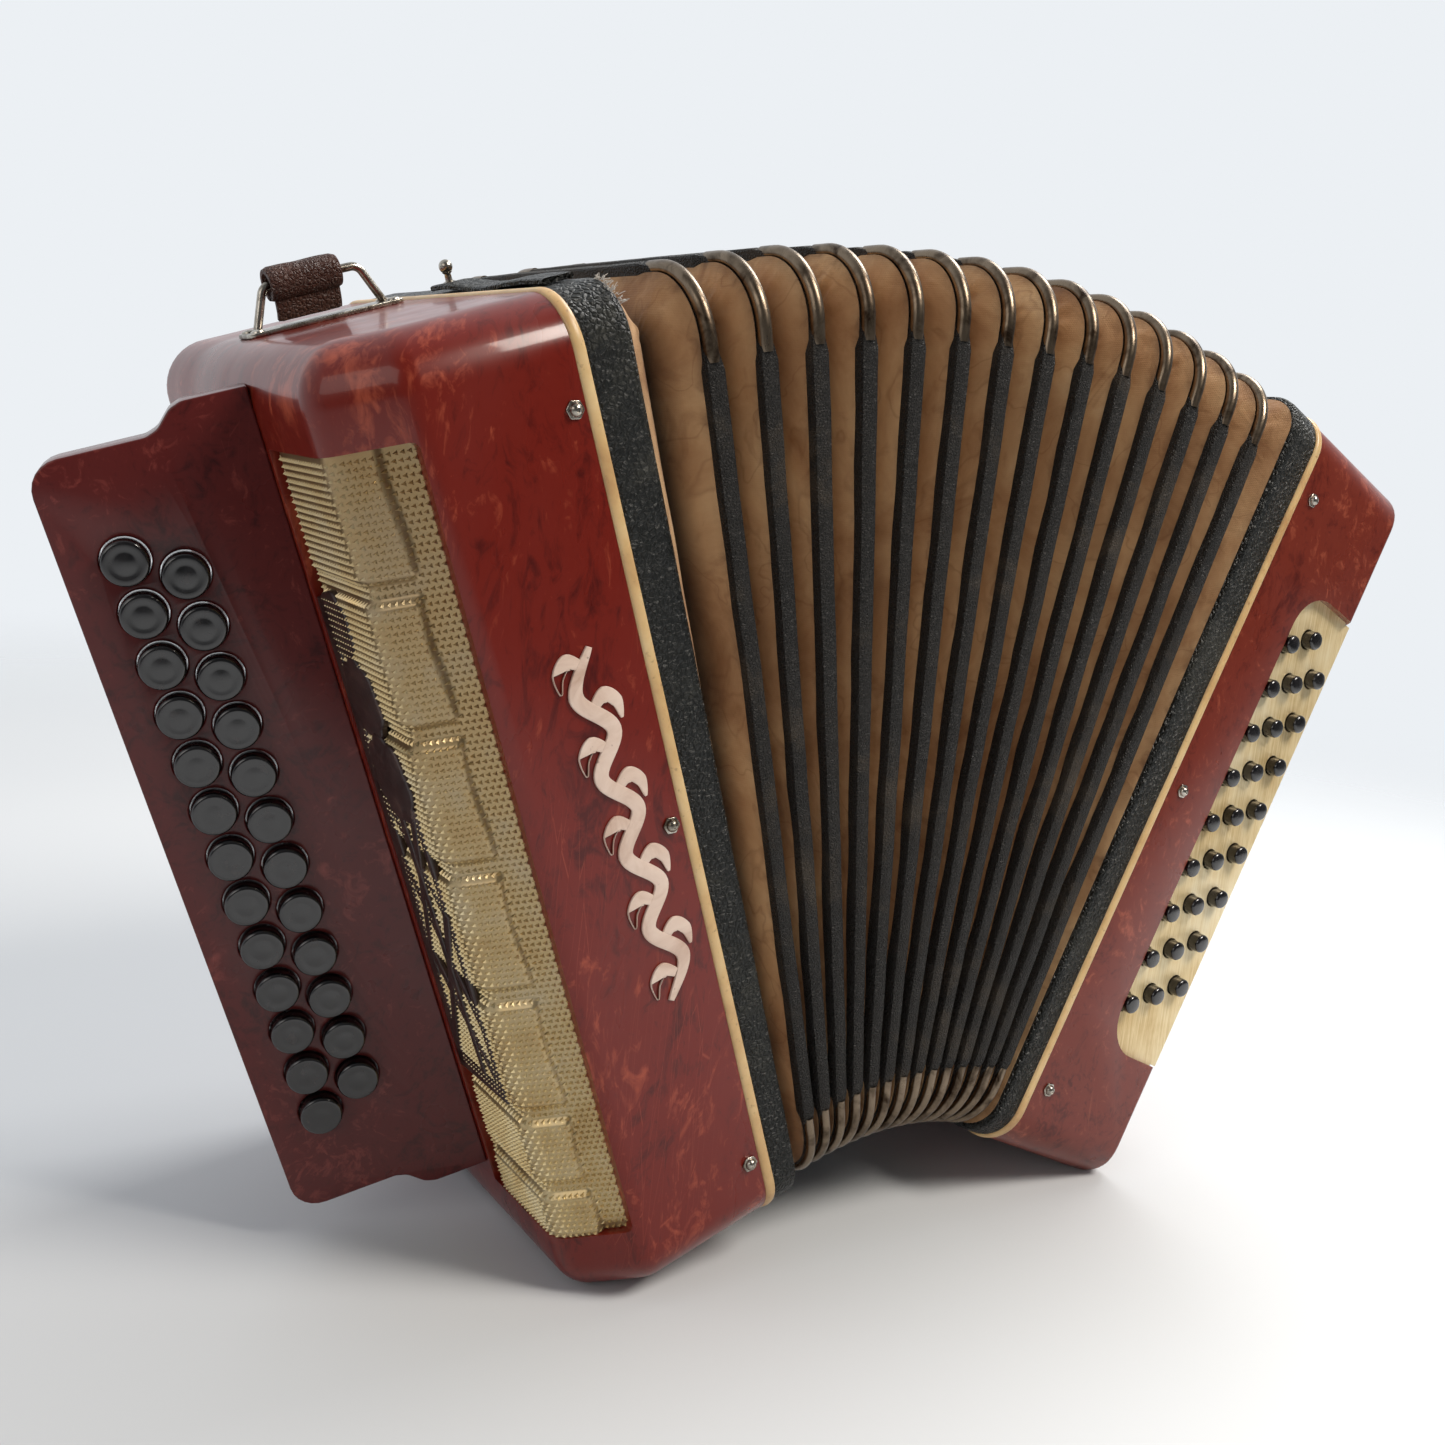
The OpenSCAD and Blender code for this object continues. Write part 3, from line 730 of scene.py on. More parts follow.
def case_shell(name, edge, bevel_x, bevel_y, soft, place):
    """A closed shell: outer and inner skins, joined round the side that faces the bellows."""
    quarter = [1 - math.cos(math.radians(a)) for a in range(0, 91, 9)]
    levels = [q * CORNER_R / CASE_H for q in quarter] + [0.2, 0.35, 0.5, 0.65, 0.8]
    levels = sorted(levels + [1 - q * CORNER_R / CASE_H for q in quarter])
    outer = case_rows(0.0, edge, levels, bevel_x, bevel_y, soft)
    inner = case_rows(WALL, edge, levels, bevel_x, bevel_y, soft)
    n, m = len(levels), len(outer[0])
    verts = [p for row in outer for p in row] + [p for row in inner for p in row]
    faces = grid(n, m) + [tuple(reversed(f)) for f in grid(n, m, start=n * m)]
    base = n * m
    for i in range(n - 1):
        for j in (0, m - 1):
            faces.append((i * m + j, (i + 1) * m + j, base + (i + 1) * m + j, base + i * m + j))
    for row in (0, n - 1):
        faces.append(tuple(row * m + j for j in range(m)))
        faces.append(tuple(base + row * m + j for j in range(m)))
        faces.append((row * m, row * m + m - 1, base + row * m + m - 1, base + row * m))
    return piece(name, verts, faces, place, weld=False)


def prism(name, outline, low, high, place):
    """A straight prism for cutting: an outline in x and z, from y = low to y = high."""
    n = len(outline)
    verts = [(x, y, z) for y in (low, high) for x, z in outline]
    faces = [tuple(range(n)), tuple(range(n, 2 * n))]
    faces += [(i, (i + 1) % n, n + (i + 1) % n, n + i) for i in range(n)]
    return piece(name, verts, faces, place)


def rounded_box(x0, x1, z0, z1, r, n=10):
    return (arc(x1 - r, z1 - r, r, 0, 90, n) + arc(x0 + r, z1 - r, r, 90, 180, n)
            + arc(x0 + r, z0 + r, r, 180, 270, n) + arc(x1 - r, z0 + r, r, 270, 360, n))


case = case_shell("treble_case_body", EDGE_TREBLE, BEVEL_W, BEVEL_D, 13.0, TREBLE)
window = rounded_box(CASE_W - BEVEL_W + 1, CASE_W + 40, OPEN_LOW, OPEN_HIGH, 2.5)
case = cut(case, prism("window", window, FRONT - 30, OPEN_BACK, TREBLE))
case = ease(case, 1.3)
dress(case, "treble", RED, ["treble_case"])

case = case_shell("bass_case_body", EDGE_BASS, 7.0, 7.0, 3.0, BASS)
notch = rounded_box(NOTCH_X, CASE_W + 40, NOTCH_LOW, NOTCH_HIGH, NOTCH_R)
case = cut(case, prism("notch", notch, FRONT - 10, FRONT + WALL + 6, BASS))
case = ease(case, 1.0)
dress(case, "bass", RED_BASS, ["bass_case"])

# ---------------------------------------------------------------- beads and leather bands
bead = [(-BEAD_IN + BEAD_W * (1 - math.cos(math.radians(a))) / 2,
         1.0 - (BEAD_PROUD + 1.0) * math.sin(math.radians(a)) ** 0.7) for a in range(0, 181, 15)]
bead += [(CASE_START, WALL), (-BEAD_IN, WALL)]


def band_x(share):
    """The band's inner side, a share of its width from the bead, at height z."""
    return lambda z: -BEAD_IN - share * (BAND_LOW + (BAND_HIGH - BAND_LOW) * z / CASE_H)


def lumps(amount, scale, seed):
    """Moves a ring's points a little, as cloth glued over a wooden frame."""
    def move(verts):
        out = verts.copy()
        for i in range(verts.shape[0]):
            for j in range(verts.shape[1]):
                p = Vector(verts[i, j]) * scale + Vector((seed, seed * 2, seed * 3))
                out[i, j] += amount * np.array(noise.noise_vector(p))
        return out
    return move


band = [(-BEAD_IN + 0.05, 0.25), (band_x(0.04), 0.12), (band_x(0.25), 0.0), (band_x(0.5), 0.0),
        (band_x(0.78), 0.0), (band_x(0.90), 0.25), (band_x(0.97), 0.9), (band_x(1.0), 2.0),
        (band_x(1.0), 12.1), (18.0, 12.1), (18.0, 4.2), (-BEAD_IN + 0.05, 4.2)]
for side, place, seed in (("treble", TREBLE, 3.0), ("bass", BASS, 8.0)):
    obj = ring(side + "_bead", bead, place)
    dress(obj, side, CREAM_BEAD, [side + "_piping"])
    obj = ring(side + "_band", band, place, wobble=lumps(0.22, 0.06, seed))
    dress(obj, side, BLACK_CLOTH, [side + "_frame"])

# Frayed front top corner of the treble band
threads = []
rng = np.random.default_rng(11)
for i in range(70):
    a = math.radians(rng.uniform(102, 150))
    r0 = CORNER_R + 0.1
    y, z = FRONT + CORNER_R + r0 * math.cos(a), CASE_H - CORNER_R + r0 * math.sin(a)
    x = band_x(rng.uniform(0.86, 0.99))(z)
    reach = rng.uniform(0.8, 3.0)
    d = np.array([-rng.uniform(-0.3, 1.0), 0.5 * math.cos(a) + rng.normal(0, 0.3),
                  0.5 * math.sin(a) + rng.normal(0, 0.4)])
    d /= np.linalg.norm(d)
    start = np.array([x, y - 0.1, z - 0.1])
    bend = np.array([0, 0, -0.35 * reach])      # the ends sag
    path = [start, start + d * reach * 0.5 + bend * 0.2, start + d * reach + bend * 0.6]
    threads.append(tube("thread", path, 0.11, TREBLE, seg=5))
dress(join("band_fraying", threads), "treble", FRAYED)


# ---------------------------------------------------------------- folds
FOLD_R = 25.0
CORNER_LEG = 7.0


def half_card(z):
    return (FOLD_LOW + (FOLD_HIGH - FOLD_LOW) * z / CASE_H) / 2


def tape_profile():
    """A U of cloth tape over the fold's edge."""
    shape = [(-1.08, 7.2), (-1.12, 1.3), (-0.98, 0.6), (-0.5, 0.3), (0, 0.2), (0.5, 0.3),
             (0.98, 0.6), (1.12, 1.3), (1.08, 7.2), (0.86, 7.2), (0.0, 2.4), (-0.86, 7.2)]
    return [((lambda z, s=s: s * half_card(z)), inset) for s, inset in shape]


def corner_strip(y_side, top, leg=CORNER_LEG, steps=16):
    """Points and outward normals over one rounded corner of a fold and a short leg each way."""
    out = []
    r = FOLD_R
    cy, cz = y_side * (CASE_D / 2 - r), (CASE_H - r if top else r)
    sz = 1 if top else -1
    for k in range(4):
        out.append((y_side * CASE_D / 2, cz - sz * leg * (1 - k / 4), y_side, 0))
    for k in range(steps + 1):
        a = math.radians(90 * k / steps)
        ny, nz = y_side * math.cos(a), sz * math.sin(a)
        out.append((cy + r * ny, cz + r * nz, ny, nz))
    for k in range(1, 5):
        out.append((cy - y_side * leg * k / 4, cz + sz * r, 0, sz))
    return np.array(out)


def corner_guard(name, place, y_side, top):
    """A rolled metal guard: a tube bent round the corner, open towards the card."""
    strip = corner_strip(y_side, top)
    n = len(strip)
    verts, seg = [], 14
    for i, (y, z, ny, nz) in enumerate(strip):
        end = min(i, n - 1 - i)
        flare = 0.85 if end == 0 else 1.0
        w = (half_card(z) * 0.80) * flare
        for inner, turns in ((0.0, range(seg + 1)), (0.5, range(seg, -1, -1))):
            for k in turns:
                a = math.radians(-50 + 280 * k / seg)
                x, o = (w - inner) * math.cos(a), (w * 0.95 - inner) * math.sin(a)
                out = o - w * 0.95 + 0.05
                verts.append((x, y + ny * out, z + nz * out))
    m = 2 * (seg + 1)
    faces = grid(n, m, False, True)
    for row in (0, n - 1):
        b = row * m
        faces += [(b + k, b + k + 1, b + m - 2 - k, b + m - 1 - k) for k in range(seg)]
    return piece(name, verts, faces, place, 50)


def tape_shape(seed, duck=1.5):
    """Cloth tape, a little uneven, that ducks under the metal guards at the corners."""
    uneven = lumps(0.30, 0.045, seed)

    def move(verts):
        out = uneven(verts)
        covered = CASE_D / 2 - FOLD_R - CORNER_LEG
        y, z = verts[:, :, 1], verts[:, :, 2]
        high = np.maximum(z - (CASE_H - FOLD_R - CORNER_LEG), FOLD_R + CORNER_LEG - z)
        under = (np.abs(y) > covered) & (high > 0)
        out[:, :, 0] = np.where(under, out[:, :, 0] * 0.62, out[:, :, 0])
        inner_y = y * (1 - duck / (CASE_D / 2))
        inner_z = z * (1 - duck / (CASE_H / 2)) + duck
        return np.where(under[:, :, None], np.dstack([out[:, :, 0], inner_y, inner_z]), out)
    return move


for k in range(1, FOLDS + 1):
    body, node = f"fold_{k:02d}", f"bellows_fold_{k:02d}"
    place = fold_frame(k)
    obj = ring(f"fold_tape_{k:02d}", tape_profile(), place, FOLD_R, wobble=tape_shape(5.0 * k))
    dress(obj, body, EDGE_CLOTH, [node])
    guards = [corner_guard("guard", place, y, top) for y in (-1, 1) for top in (True, False)]
    dress(join(f"fold_corners_{k:02d}", guards), body, CORNER_METAL)


# ---------------------------------------------------------------- pleat walls
WALL_POINTS = (18, 40, 20)
WALL_STEPS = 9


def wall_edge(k, side, inset, hug=0.86):
    """World points, in metres, on the side of fold k that faces its neighbour."""
    if k in (0, FOLDS + 1):
        pts = loop(inset, CORNER_R, *WALL_POINTS)
        x = np.zeros(len(pts))
    else:
        pts = loop(inset, FOLD_R, *WALL_POINTS)
        x = side * hug * np.array([half_card(z) for z in pts[:, 1]])
    return place_points(np.column_stack([x, pts[:, 0], pts[:, 1]]), fold_frame(k))


def corner_share(points):
    """1 in the middle of a corner of the loop, 0 along its straight runs."""
    ny, nz = np.abs(points[:, 2]), np.abs(points[:, 3])
    return np.clip(2.2 * np.minimum(ny, nz), 0, 1)


for k in range(FOLDS + 1):
    left = wall_edge(k, 1, 3.6 if k else 2.6)
    right = wall_edge(k + 1, -1, 3.6 if k < FOLDS else 2.6)
    lay = loop(12.0, FOLD_R, *WALL_POINTS)
    valley = (wall_edge(k, 1, FOLD_DEEP, 0.0) + wall_edge(k + 1, -1, FOLD_DEEP, 0.0)) / 2
    share = corner_share(lay)
    across = right - left
    across /= np.linalg.norm(across, axis=1)[:, None]
    gap = np.linalg.norm(right - left, axis=1)
    rows, depth = [], []
    for wall_side, edge, sign, down in ((0, left, 1, range(WALL_STEPS)),
                                        (1, right, -1, range(WALL_STEPS, -1, -1))):
        for i in down:
            t = i / WALL_STEPS
            base = edge + (valley - edge) * t
            bow = math.sin(math.pi * t)
            belly = 0.05 * bow * gap * sign
            crease = np.zeros(len(lay))
            for j in range(len(lay)):
                p = Vector((lay[j, 0] * 0.035, lay[j, 1] * 0.035,
                            3.7 * k + 1.9 * wall_side + 0.8 * t))
                fold_noise = noise.noise(p) * 0.0007
                q = Vector((lay[j, 0] * 0.16, lay[j, 1] * 0.16, 5.1 * k + wall_side + 2.0 * t))
                crumple = (abs(noise.noise(q)) - 0.2) * 0.0030 * share[j]
                crease[j] = (fold_noise + crumple) * bow * min(1.0, gap[j] / 0.016)
            rows.append(base + across * (belly + crease)[:, None])
            depth.append(np.full(len(lay), t))
    verts = np.stack(rows)
    n, m = verts.shape[:2]
    obj = piece(f"pleat_wall_{k + 1:02d}", verts.reshape(-1, 3), grid(n, m, False, True),
                Matrix.Identity(4), 60, weld=False)
    point_values(obj, "depth", np.concatenate(depth))
    obj = apply_modifiers(thicken(obj, 0.0005, 0.0), 60)
    dress(obj, None, WALL_CLOTH)
    start, end = (fold_frame(i) @ Vector((0, 0, 0.97 * CASE_H)) for i in (k, k + 1))
    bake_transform(obj)


# ---------------------------------------------------------------- grille
SHEET_INSET = 3.6
slant = math.atan2(BEVEL_D, BEVEL_W)
g_left = (CASE_W - BEVEL_W - SHEET_INSET * math.tan(slant / 2), FRONT + SHEET_INSET)
g_mid = (CASE_W - SHEET_INSET, FRONT + BEVEL_D + SHEET_INSET * math.tan((math.pi / 2 - slant) / 2))
g_pts = np.array(fillet([g_left, g_mid, (CASE_W - SHEET_INSET, OPEN_BACK + 3)], [0, 7.0, 0], 12))
g_s = np.concatenate([[0], np.cumsum(np.linalg.norm(np.diff(g_pts, axis=0), axis=1))])
g_len = g_s[-1]


def on_sheet(s, z, h):
    """Point of the grille at arc length s and height z, h above the sheet."""
    (x0, y0), (x, y), (x1, y1) = ((np.interp(at, g_s, g_pts[:, 0]), np.interp(at, g_s, g_pts[:, 1]))
                                  for at in (s - 0.4, s, s + 0.4))
    t = np.array([x1 - x0, y1 - y0])
    t /= np.linalg.norm(t)
    return x + t[1] * h, y - t[0] * h, z


PILLOW_EDGES = [OPEN_HIGH + 6, 268, 222, 175, 128, 81, 50, OPEN_LOW - 8]
PILLOW_START = 11.5
PILLOW_RISE = 2.6


def step_up(x, width):
    t = min(max(x / width, 0.0), 1.0)
    return t * t * (3 - 2 * t)


def pillow(s, z):
    """Height of the pillows over the sheet."""
    along = 0.0
    for high, low in zip(PILLOW_EDGES[:-1], PILLOW_EDGES[1:]):
        if low <= z <= high:
            along = min(step_up(z - low - 1.6, 3.4), step_up(high - z - 1.6, 3.4))
    wavy = PILLOW_START + 0.8 * math.sin(z * 0.13)
    front = step_up(s - wavy, 2.6)
    back = step_up(g_len - 7 - s, 3.0)
    return PILLOW_RISE * along * front * back


zs = np.linspace(OPEN_LOW - 2.5, OPEN_HIGH + 2.5, 400)
ss = np.linspace(0.6, g_len, 110)
verts = [on_sheet(s, z, pillow(s, z)) for z in zs for s in ss]
sheet = piece("grille_sheet", verts, grid(len(zs), len(ss)), TREBLE, 50, weld=False)
sheet = apply_modifiers(thicken(sheet, 0.0006, -1.0), 50)
# Painted shade: the flat sheet gets a low tone, which the gold material turns dark brown.
point_values(sheet, "tone", np.full(len(sheet.data.vertices), 0.12))
dress(sheet, "treble", GOLD, ["treble_grille"])

# Embossed three-sided points in staggered rows
POINT_PITCH_S, POINT_PITCH_Z = 2.15, 2.25
verts, faces, shade_tones = [], [], []
row = 0
z = OPEN_LOW + 0.6
while z < OPEN_HIGH - 0.6:
    s = 1.6 + (POINT_PITCH_S / 2 if row % 2 else 0.0)
    while s < g_len - 1.5:
        b = len(verts)
        # Painted shade: the three base points get a low tone and are darkened in the material; the
        # tip keeps the full gold.
        for ps, pz, rise, tone in ((s - 0.95, z + 0.85, -0.08, 0.35),
                                   (s - 0.95, z - 0.85, -0.08, 0.35),
                                   (s + 0.85, z, -0.08, 0.35), (s - 0.25, z, 1.0, 1.0)):
            verts.append(on_sheet(ps, pz, pillow(ps, pz) + rise))
            shade_tones.append(tone)
        faces += [(b, b + 1, b + 3), (b + 1, b + 2, b + 3), (b + 2, b, b + 3), (b, b + 2, b + 1)]
        s += POINT_PITCH_S
    z += POINT_PITCH_Z
    row += 1
points = piece("grille_points", verts, faces, TREBLE, 20, weld=False)
point_values(points, "tone", shade_tones)
dress(points, "treble", GOLD)

# ---------------------------------------------------------------- dark ornament beside the board
FACE = TREBLE @ shift(CASE_W, 0, 0) @ turn(90, "Y") @ turn(90, "Z")


def blob(cy, cz, r, lobes, depth, a0=0.0, n=72):
    """A scalloped round outline."""
    out = []
    for i in range(n):
        a = 2 * math.pi * i / n
        rr = r * (1 - depth + depth * abs(math.cos(lobes * a / 2 + a0)))
        out.append((cy + rr * math.cos(a), cz + rr * math.sin(a)))
    return out


def strip_outline(p, q, w0, w1):
    """A tapering bar between two points."""
    p, q = np.array(p, float), np.array(q, float)
    d = (q - p) / np.linalg.norm(q - p)
    s = np.array([-d[1], d[0]])
    return [tuple(p + s * w0 / 2), tuple(q + s * w1 / 2), tuple(q - s * w1 / 2),
            tuple(p - s * w0 / 2)]


ORN_BACK = OPEN_BACK - 0.6
ORN_LIFT = -0.4
parts = []
lobes = [(ORN_BACK - 12.5, 254, 12.0), (ORN_BACK - 17.0, 230, 14.5), (ORN_BACK - 22.0, 203, 16.0)]
for i, (cy, cz, r) in enumerate(lobes):
    parts.append(cutout(f"lobe_{i}", [blob(cy, cz, r, 7, 0.10, 0.6 * i)], 2.6, 0.7,
                        FACE @ shift(0, 0, ORN_LIFT + 0.35 * i)))
rails = {"spine": [(0, 262), (-7, 262), (-9, 200), (-6, 84), (0, 84)],
         "edge": [(-30, 205), (-34, 205), (-40, 88), (-36.5, 86)],
         "foot": [(0, 90), (-39, 90), (-40, 84), (0, 82)]}
for name, rail in rails.items():
    parts.append(cutout(name, [[(ORN_BACK + y, z) for y, z in rail]], 2.2, 0.6,
                        FACE @ shift(0, 0, ORN_LIFT)))
slats = [((-4, 198), (-37, 150)), ((-6, 170), (-38, 112)), ((-4, 138), (-36, 92)),
         ((-33, 196), (-5, 128)), ((-36, 158), (-5, 96)), ((-20, 190), (-26, 90))]
for i, (p, q) in enumerate(slats):
    outline = strip_outline((ORN_BACK + p[0], p[1]), (ORN_BACK + q[0], q[1]), 4.6, 3.2)
    parts.append(cutout(f"slat_{i}", [outline], 2.0, 0.5, FACE @ shift(0, 0, ORN_LIFT + 0.12 * i)))
dress(join("lattice_ornament", parts), "treble", DARK_PLASTIC, ["grille_ornament"])

# ---------------------------------------------------------------- cream ornament on the front
FRONT_FACE = TREBLE @ shift(0, FRONT, 0) @ turn(90, "X")


def ribbon(path, widths, n=14):
    """Outline of a stroke with changing width along a smooth path."""
    pts = np.array(path, float)
    t = np.linspace(0, len(pts) - 1, n * (len(pts) - 1) + 1)
    fine = []
    for v in t:
        i = min(int(v), len(pts) - 2)
        u = v - i
        p0, p1, p2, p3 = pts[max(i - 1, 0)], pts[i], pts[i + 1], pts[min(i + 2, len(pts) - 1)]
        fine.append(0.5 * (2 * p1 + (p2 - p0) * u + (2 * p0 - 5 * p1 + 4 * p2 - p3) * u * u
                           + (3 * p1 - p0 - 3 * p2 + p3) * u ** 3))
    fine = np.array(fine)
    w = np.interp(t, range(len(widths)), widths)
    d = np.gradient(fine, axis=0)
    d /= np.linalg.norm(d, axis=1)[:, None]
    s = np.column_stack([-d[:, 1], d[:, 0]])
    half = s * w[:, None] / 2
    return [tuple(p) for p in np.vstack([fine + half, (fine - half)[::-1]])]


BADGE_TOP, BADGE_LOW = (25.5, 236.0), (17.5, 108.0)
WAVES = 9


def badge_axis(t):
    """Point (x, z) of the ornament's axis, 0 at its top and 1 at its foot."""
    return [a + (b - a) * t for a, b in zip(BADGE_TOP, BADGE_LOW)]


parts = []
vine = [badge_axis(i / WAVES) for i in range(WAVES + 1)]
vine = [(x + (4.6 if i % 2 else -4.6), z) for i, (x, z) in enumerate(vine)]
vine_widths = [2.0] + [5.2] * (WAVES - 1) + [2.0]
parts.append(cutout("vine", [ribbon(vine, vine_widths)], 1.1, 0.3, FRONT_FACE @ shift(0, 0, 1.0)))
for i in range(WAVES):
    side = -1 if i % 2 else 1
    x, z = badge_axis((i + 0.5) / WAVES)
    leaf = ribbon([(x, z + 2), (x + side * 4.5, z + 5.0), (x + side * 8.2, z + 1.5),
                   (x + side * 8.8, z - 4.5)], [3.0, 5.0, 4.2, 0.8])
    parts.append(cutout(f"leaf_{i}", [leaf], 1.0, 0.25, FRONT_FACE @ shift(0, 0, 0.9)))
dress(join("front_ornament", parts), "treble", ENAMEL)

# ---------------------------------------------------------------- fingerboard
BOARD_STEP = 8.0
BOARD_R = 10.0
lower = [(0.2, 0), (20, 0), (24, 1.5), (29, 6.5), (33, BOARD_STEP), (BOARD_W, BOARD_STEP)]
outline = ([(x, BOARD_LOW + z) for x, z in lower]
           + [(x, BOARD_HIGH - z) for x, z in reversed(lower)])
radii = [0.5, 6, 6, 6, 6, BOARD_R, BOARD_R, 6, 6, 6, 6, 0.5]
outline = fillet(outline, radii, 6, closed=True)


def button_place(i):
    """Place of treble button i on the board: the outer row first."""
    if i <= OUTER_COUNT:
        return OUTER_ROW, BUTTON_TOP - (i - 1) * BUTTON_PITCH
    return INNER_ROW, BUTTON_TOP - (i - OUTER_COUNT - 0.5) * BUTTON_PITCH


holes = [circle(*button_place(i), BUTTON_D / 2 + 0.35, 40) for i in range(1, BUTTONS + 1)]
obj = cutout("fingerboard_body", [outline] + holes, BOARD_T, 0.6, BOARD)
dress(obj, "treble", BOARD_RED, ["fingerboard"])

cap = BUTTON_D / 2
top = BUTTON_PROUD
profile = [(0, -BUTTON_STEM), (cap - 0.6, -BUTTON_STEM), (cap, -BUTTON_STEM + 0.6),
           (cap, top - 1.9)]
profile += [(cap - 1.3 + x, top - 1.5 + z) for x, z in arc(0, 0, 1.3, 20, 90, 6)]
profile += [(cap - 2.4, top - 0.22), (cap - 3.2, top - 0.34), (cap - 4.2, top - 0.30),
            (2.0, top - 0.12), (0, top - 0.1)]
for i in range(1, BUTTONS + 1):
    x, y = button_place(i)
    obj = lathe(f"treble_button_cap_{i:02d}", profile, BOARD @ shift(x, y, 0), 48, 50)
    dress(obj, f"treble_key_{i:02d}", BLACK_BUTTON, [f"treble_button_{i:02d}"])

# ---------------------------------------------------------------- bass plate and buttons
PLATE_FACE = BASS @ shift(0, FRONT + WALL + 0.03, 0) @ turn(90, "X")
PLATE_LAP = 4.5


def peg_place(i, j):
    return PEG_X + j * PEG_COLUMN, PEG_TOP - i * PEG_PITCH + j * PEG_STEP


def peg_rows(j):
    """Rows of the pegs in column j; the rear column starts one lower."""
    return range(1 if j == 2 else 0, 9)


holes = [circle(*peg_place(i, j), PEG_D / 2 + 0.4, 32) for j in range(3) for i in peg_rows(j)]
inner_x = CASE_W - WALL - 0.4
low_z, high_z = NOTCH_LOW - PLATE_LAP, NOTCH_HIGH + PLATE_LAP
plate_outline = [(NOTCH_X - PLATE_LAP, low_z), (inner_x, low_z), (inner_x, NOTCH_LOW + 0.6),
                 (CASE_W - 0.5, NOTCH_LOW + 0.6), (CASE_W - 0.5, NOTCH_HIGH - 0.6),
                 (inner_x, NOTCH_HIGH - 0.6), (inner_x, high_z), (NOTCH_X - PLATE_LAP, high_z)]
obj = cutout("bass_plate", [plate_outline] + holes, 1.9, 0.35, PLATE_FACE)
dress(obj, "bass", PLATE, ["bass_button_plate"])

peg_r = PEG_D / 2
peg = [(0, -PEG_SUNK), (peg_r, -PEG_SUNK), (peg_r, PEG_PROUD - 2.2)]
peg += [(peg_r - 1.4 + x, PEG_PROUD - 1.6 + z) for x, z in arc(0, 0, 1.4, 0, 80, 6)]
peg += [(1.2, PEG_PROUD - 0.05), (0, PEG_PROUD)]
for j, column in enumerate(("front", "middle", "rear")):
    parts = []
    for i in peg_rows(j):
        x, z = peg_place(i, j)
        parts.append(lathe("peg", peg, PLATE_FACE @ shift(x, z, 0), 32, 50))
    x, z0 = peg_place(8, j)
    z1 = peg_place(peg_rows(j)[0], j)[1]
    rail = rounded_box(x - 2, x + 2, z0, z1, 0.8, 3)
    parts.append(cutout("rail", [rail], 3.0, 0.3, PLATE_FACE @ shift(0, 0, -PEG_SUNK + 3.0)))
    dress(join(f"bass_pegs_{column}", parts), f"bass_keys_{column}", BLACK_BUTTON,
          [f"bass_buttons_{column}"])

# ---------------------------------------------------------------- bolts
BOLT_HEIGHTS = (30.0, 168.0, 306.0)


def bolt(place):
    """A six-sided washer with a domed head on it."""
    place = place @ Matrix.Diagonal((0.8, 0.8, 0.85, 1.0))
    hexagon = arc(0, 0, 4.0, 12, 372, 6)[:-1]
    washer = cutout("washer", [fillet(hexagon, [1.0] * 6, 3, closed=True)], 1.0, 0.3,
                    place @ shift(0, 0, 0.92))
    dome = [(0, -6), (1.5, -6), (1.5, 0.6), (2.7, 0.9)]
    dome += [(2.7 * math.cos(math.radians(a)), 1.0 + 2.2 * math.sin(math.radians(a)))
             for a in range(8, 80, 9)]
    dome += [(0.9, 3.05), (0.7, 2.75), (0, 2.7)]
    return [washer, lathe("dome", dome, place, 28, 40)]


for side, place, x in (("treble", TREBLE, 5.5 + CASE_START / 2), ("bass", BASS, 11.0)):
    parts = []
    for z in BOLT_HEIGHTS:
        parts += bolt(place @ shift(x, FRONT, z) @ turn(90, "X"))
        parts += bolt(place @ shift(x, -FRONT, z) @ turn(-90, "X"))
    dress(join(side + "_case_bolts", parts), side, NICKEL, [side + "_bolts"])

# ---------------------------------------------------------------- strap bracket and its leather
BRACKET = TREBLE @ shift(BRACKET_X, BRACKET_Y, CASE_H)
foot = BAR_LEN / 2 + 6
wire_path = fillet([(-foot, 0, 1.4), (-BAR_LEN / 2, 0, BRACKET_H), (BAR_LEN / 2, 0, BRACKET_H),
                    (foot, 0, 1.4)], [0, 4.0, 4.0, 0], 8)
parts = [tube("wire", wire_path, WIRE_D / 2 - 0.05, BRACKET)]
plate = rounded_box(-foot - 5, foot + 5, -8, 8, 3.0, 6)
spots = [(x, y) for x in (-foot - 1.5, foot + 1.5) for y in (-5, 5)]
holes = [circle(x, y, 1.4, 16) for x, y in spots]
parts.append(cutout("bracket_plate", [plate] + holes, 1.5, 0.3, BRACKET @ shift(0, 0, 1.55)))
screw = [(0, -1), (1.3, -1), (1.3, 1.2), (2.4, 1.5), (2.2, 2.0), (1.4, 2.4), (0, 2.5)]
for x, y in spots:
    parts.append(lathe("screw", screw, BRACKET @ shift(x, y, 0), 20, 40))
dress(join("strap_bracket_wire", parts), "treble", NICKEL, ["strap_bracket"])


def leather_loop(name, path, x0, x1, thick, place, seed):
    """A leather strap of constant thickness along a path in (y, z), from x0 to x1 wide."""
    pts = np.array(path, float)
    d = np.gradient(pts, axis=0)
    d /= np.linalg.norm(d, axis=1)[:, None]
    normal = np.column_stack([d[:, 1], -d[:, 0]])
    across = np.linspace(x0, x1, 17)
    rows = []
    for i, (p, q) in enumerate(zip(pts, normal)):
        row = []
        for sgn, xs in ((1, across), (-1, across[::-1])):
            for x in xs:
                rim = min(x - x0, x1 - x)
                t = thick / 2 * (1 - 0.45 * max(0.0, 1 - rim / 0.9) ** 2)
                w = 0.18 * noise.noise(Vector((x * 0.22, i * 0.18, seed)))
                row.append((x, p[0] + q[0] * (sgn * t + w), p[1] + q[1] * (sgn * t + w)))
        rows.append(row)
    return bar(name, rows, place)


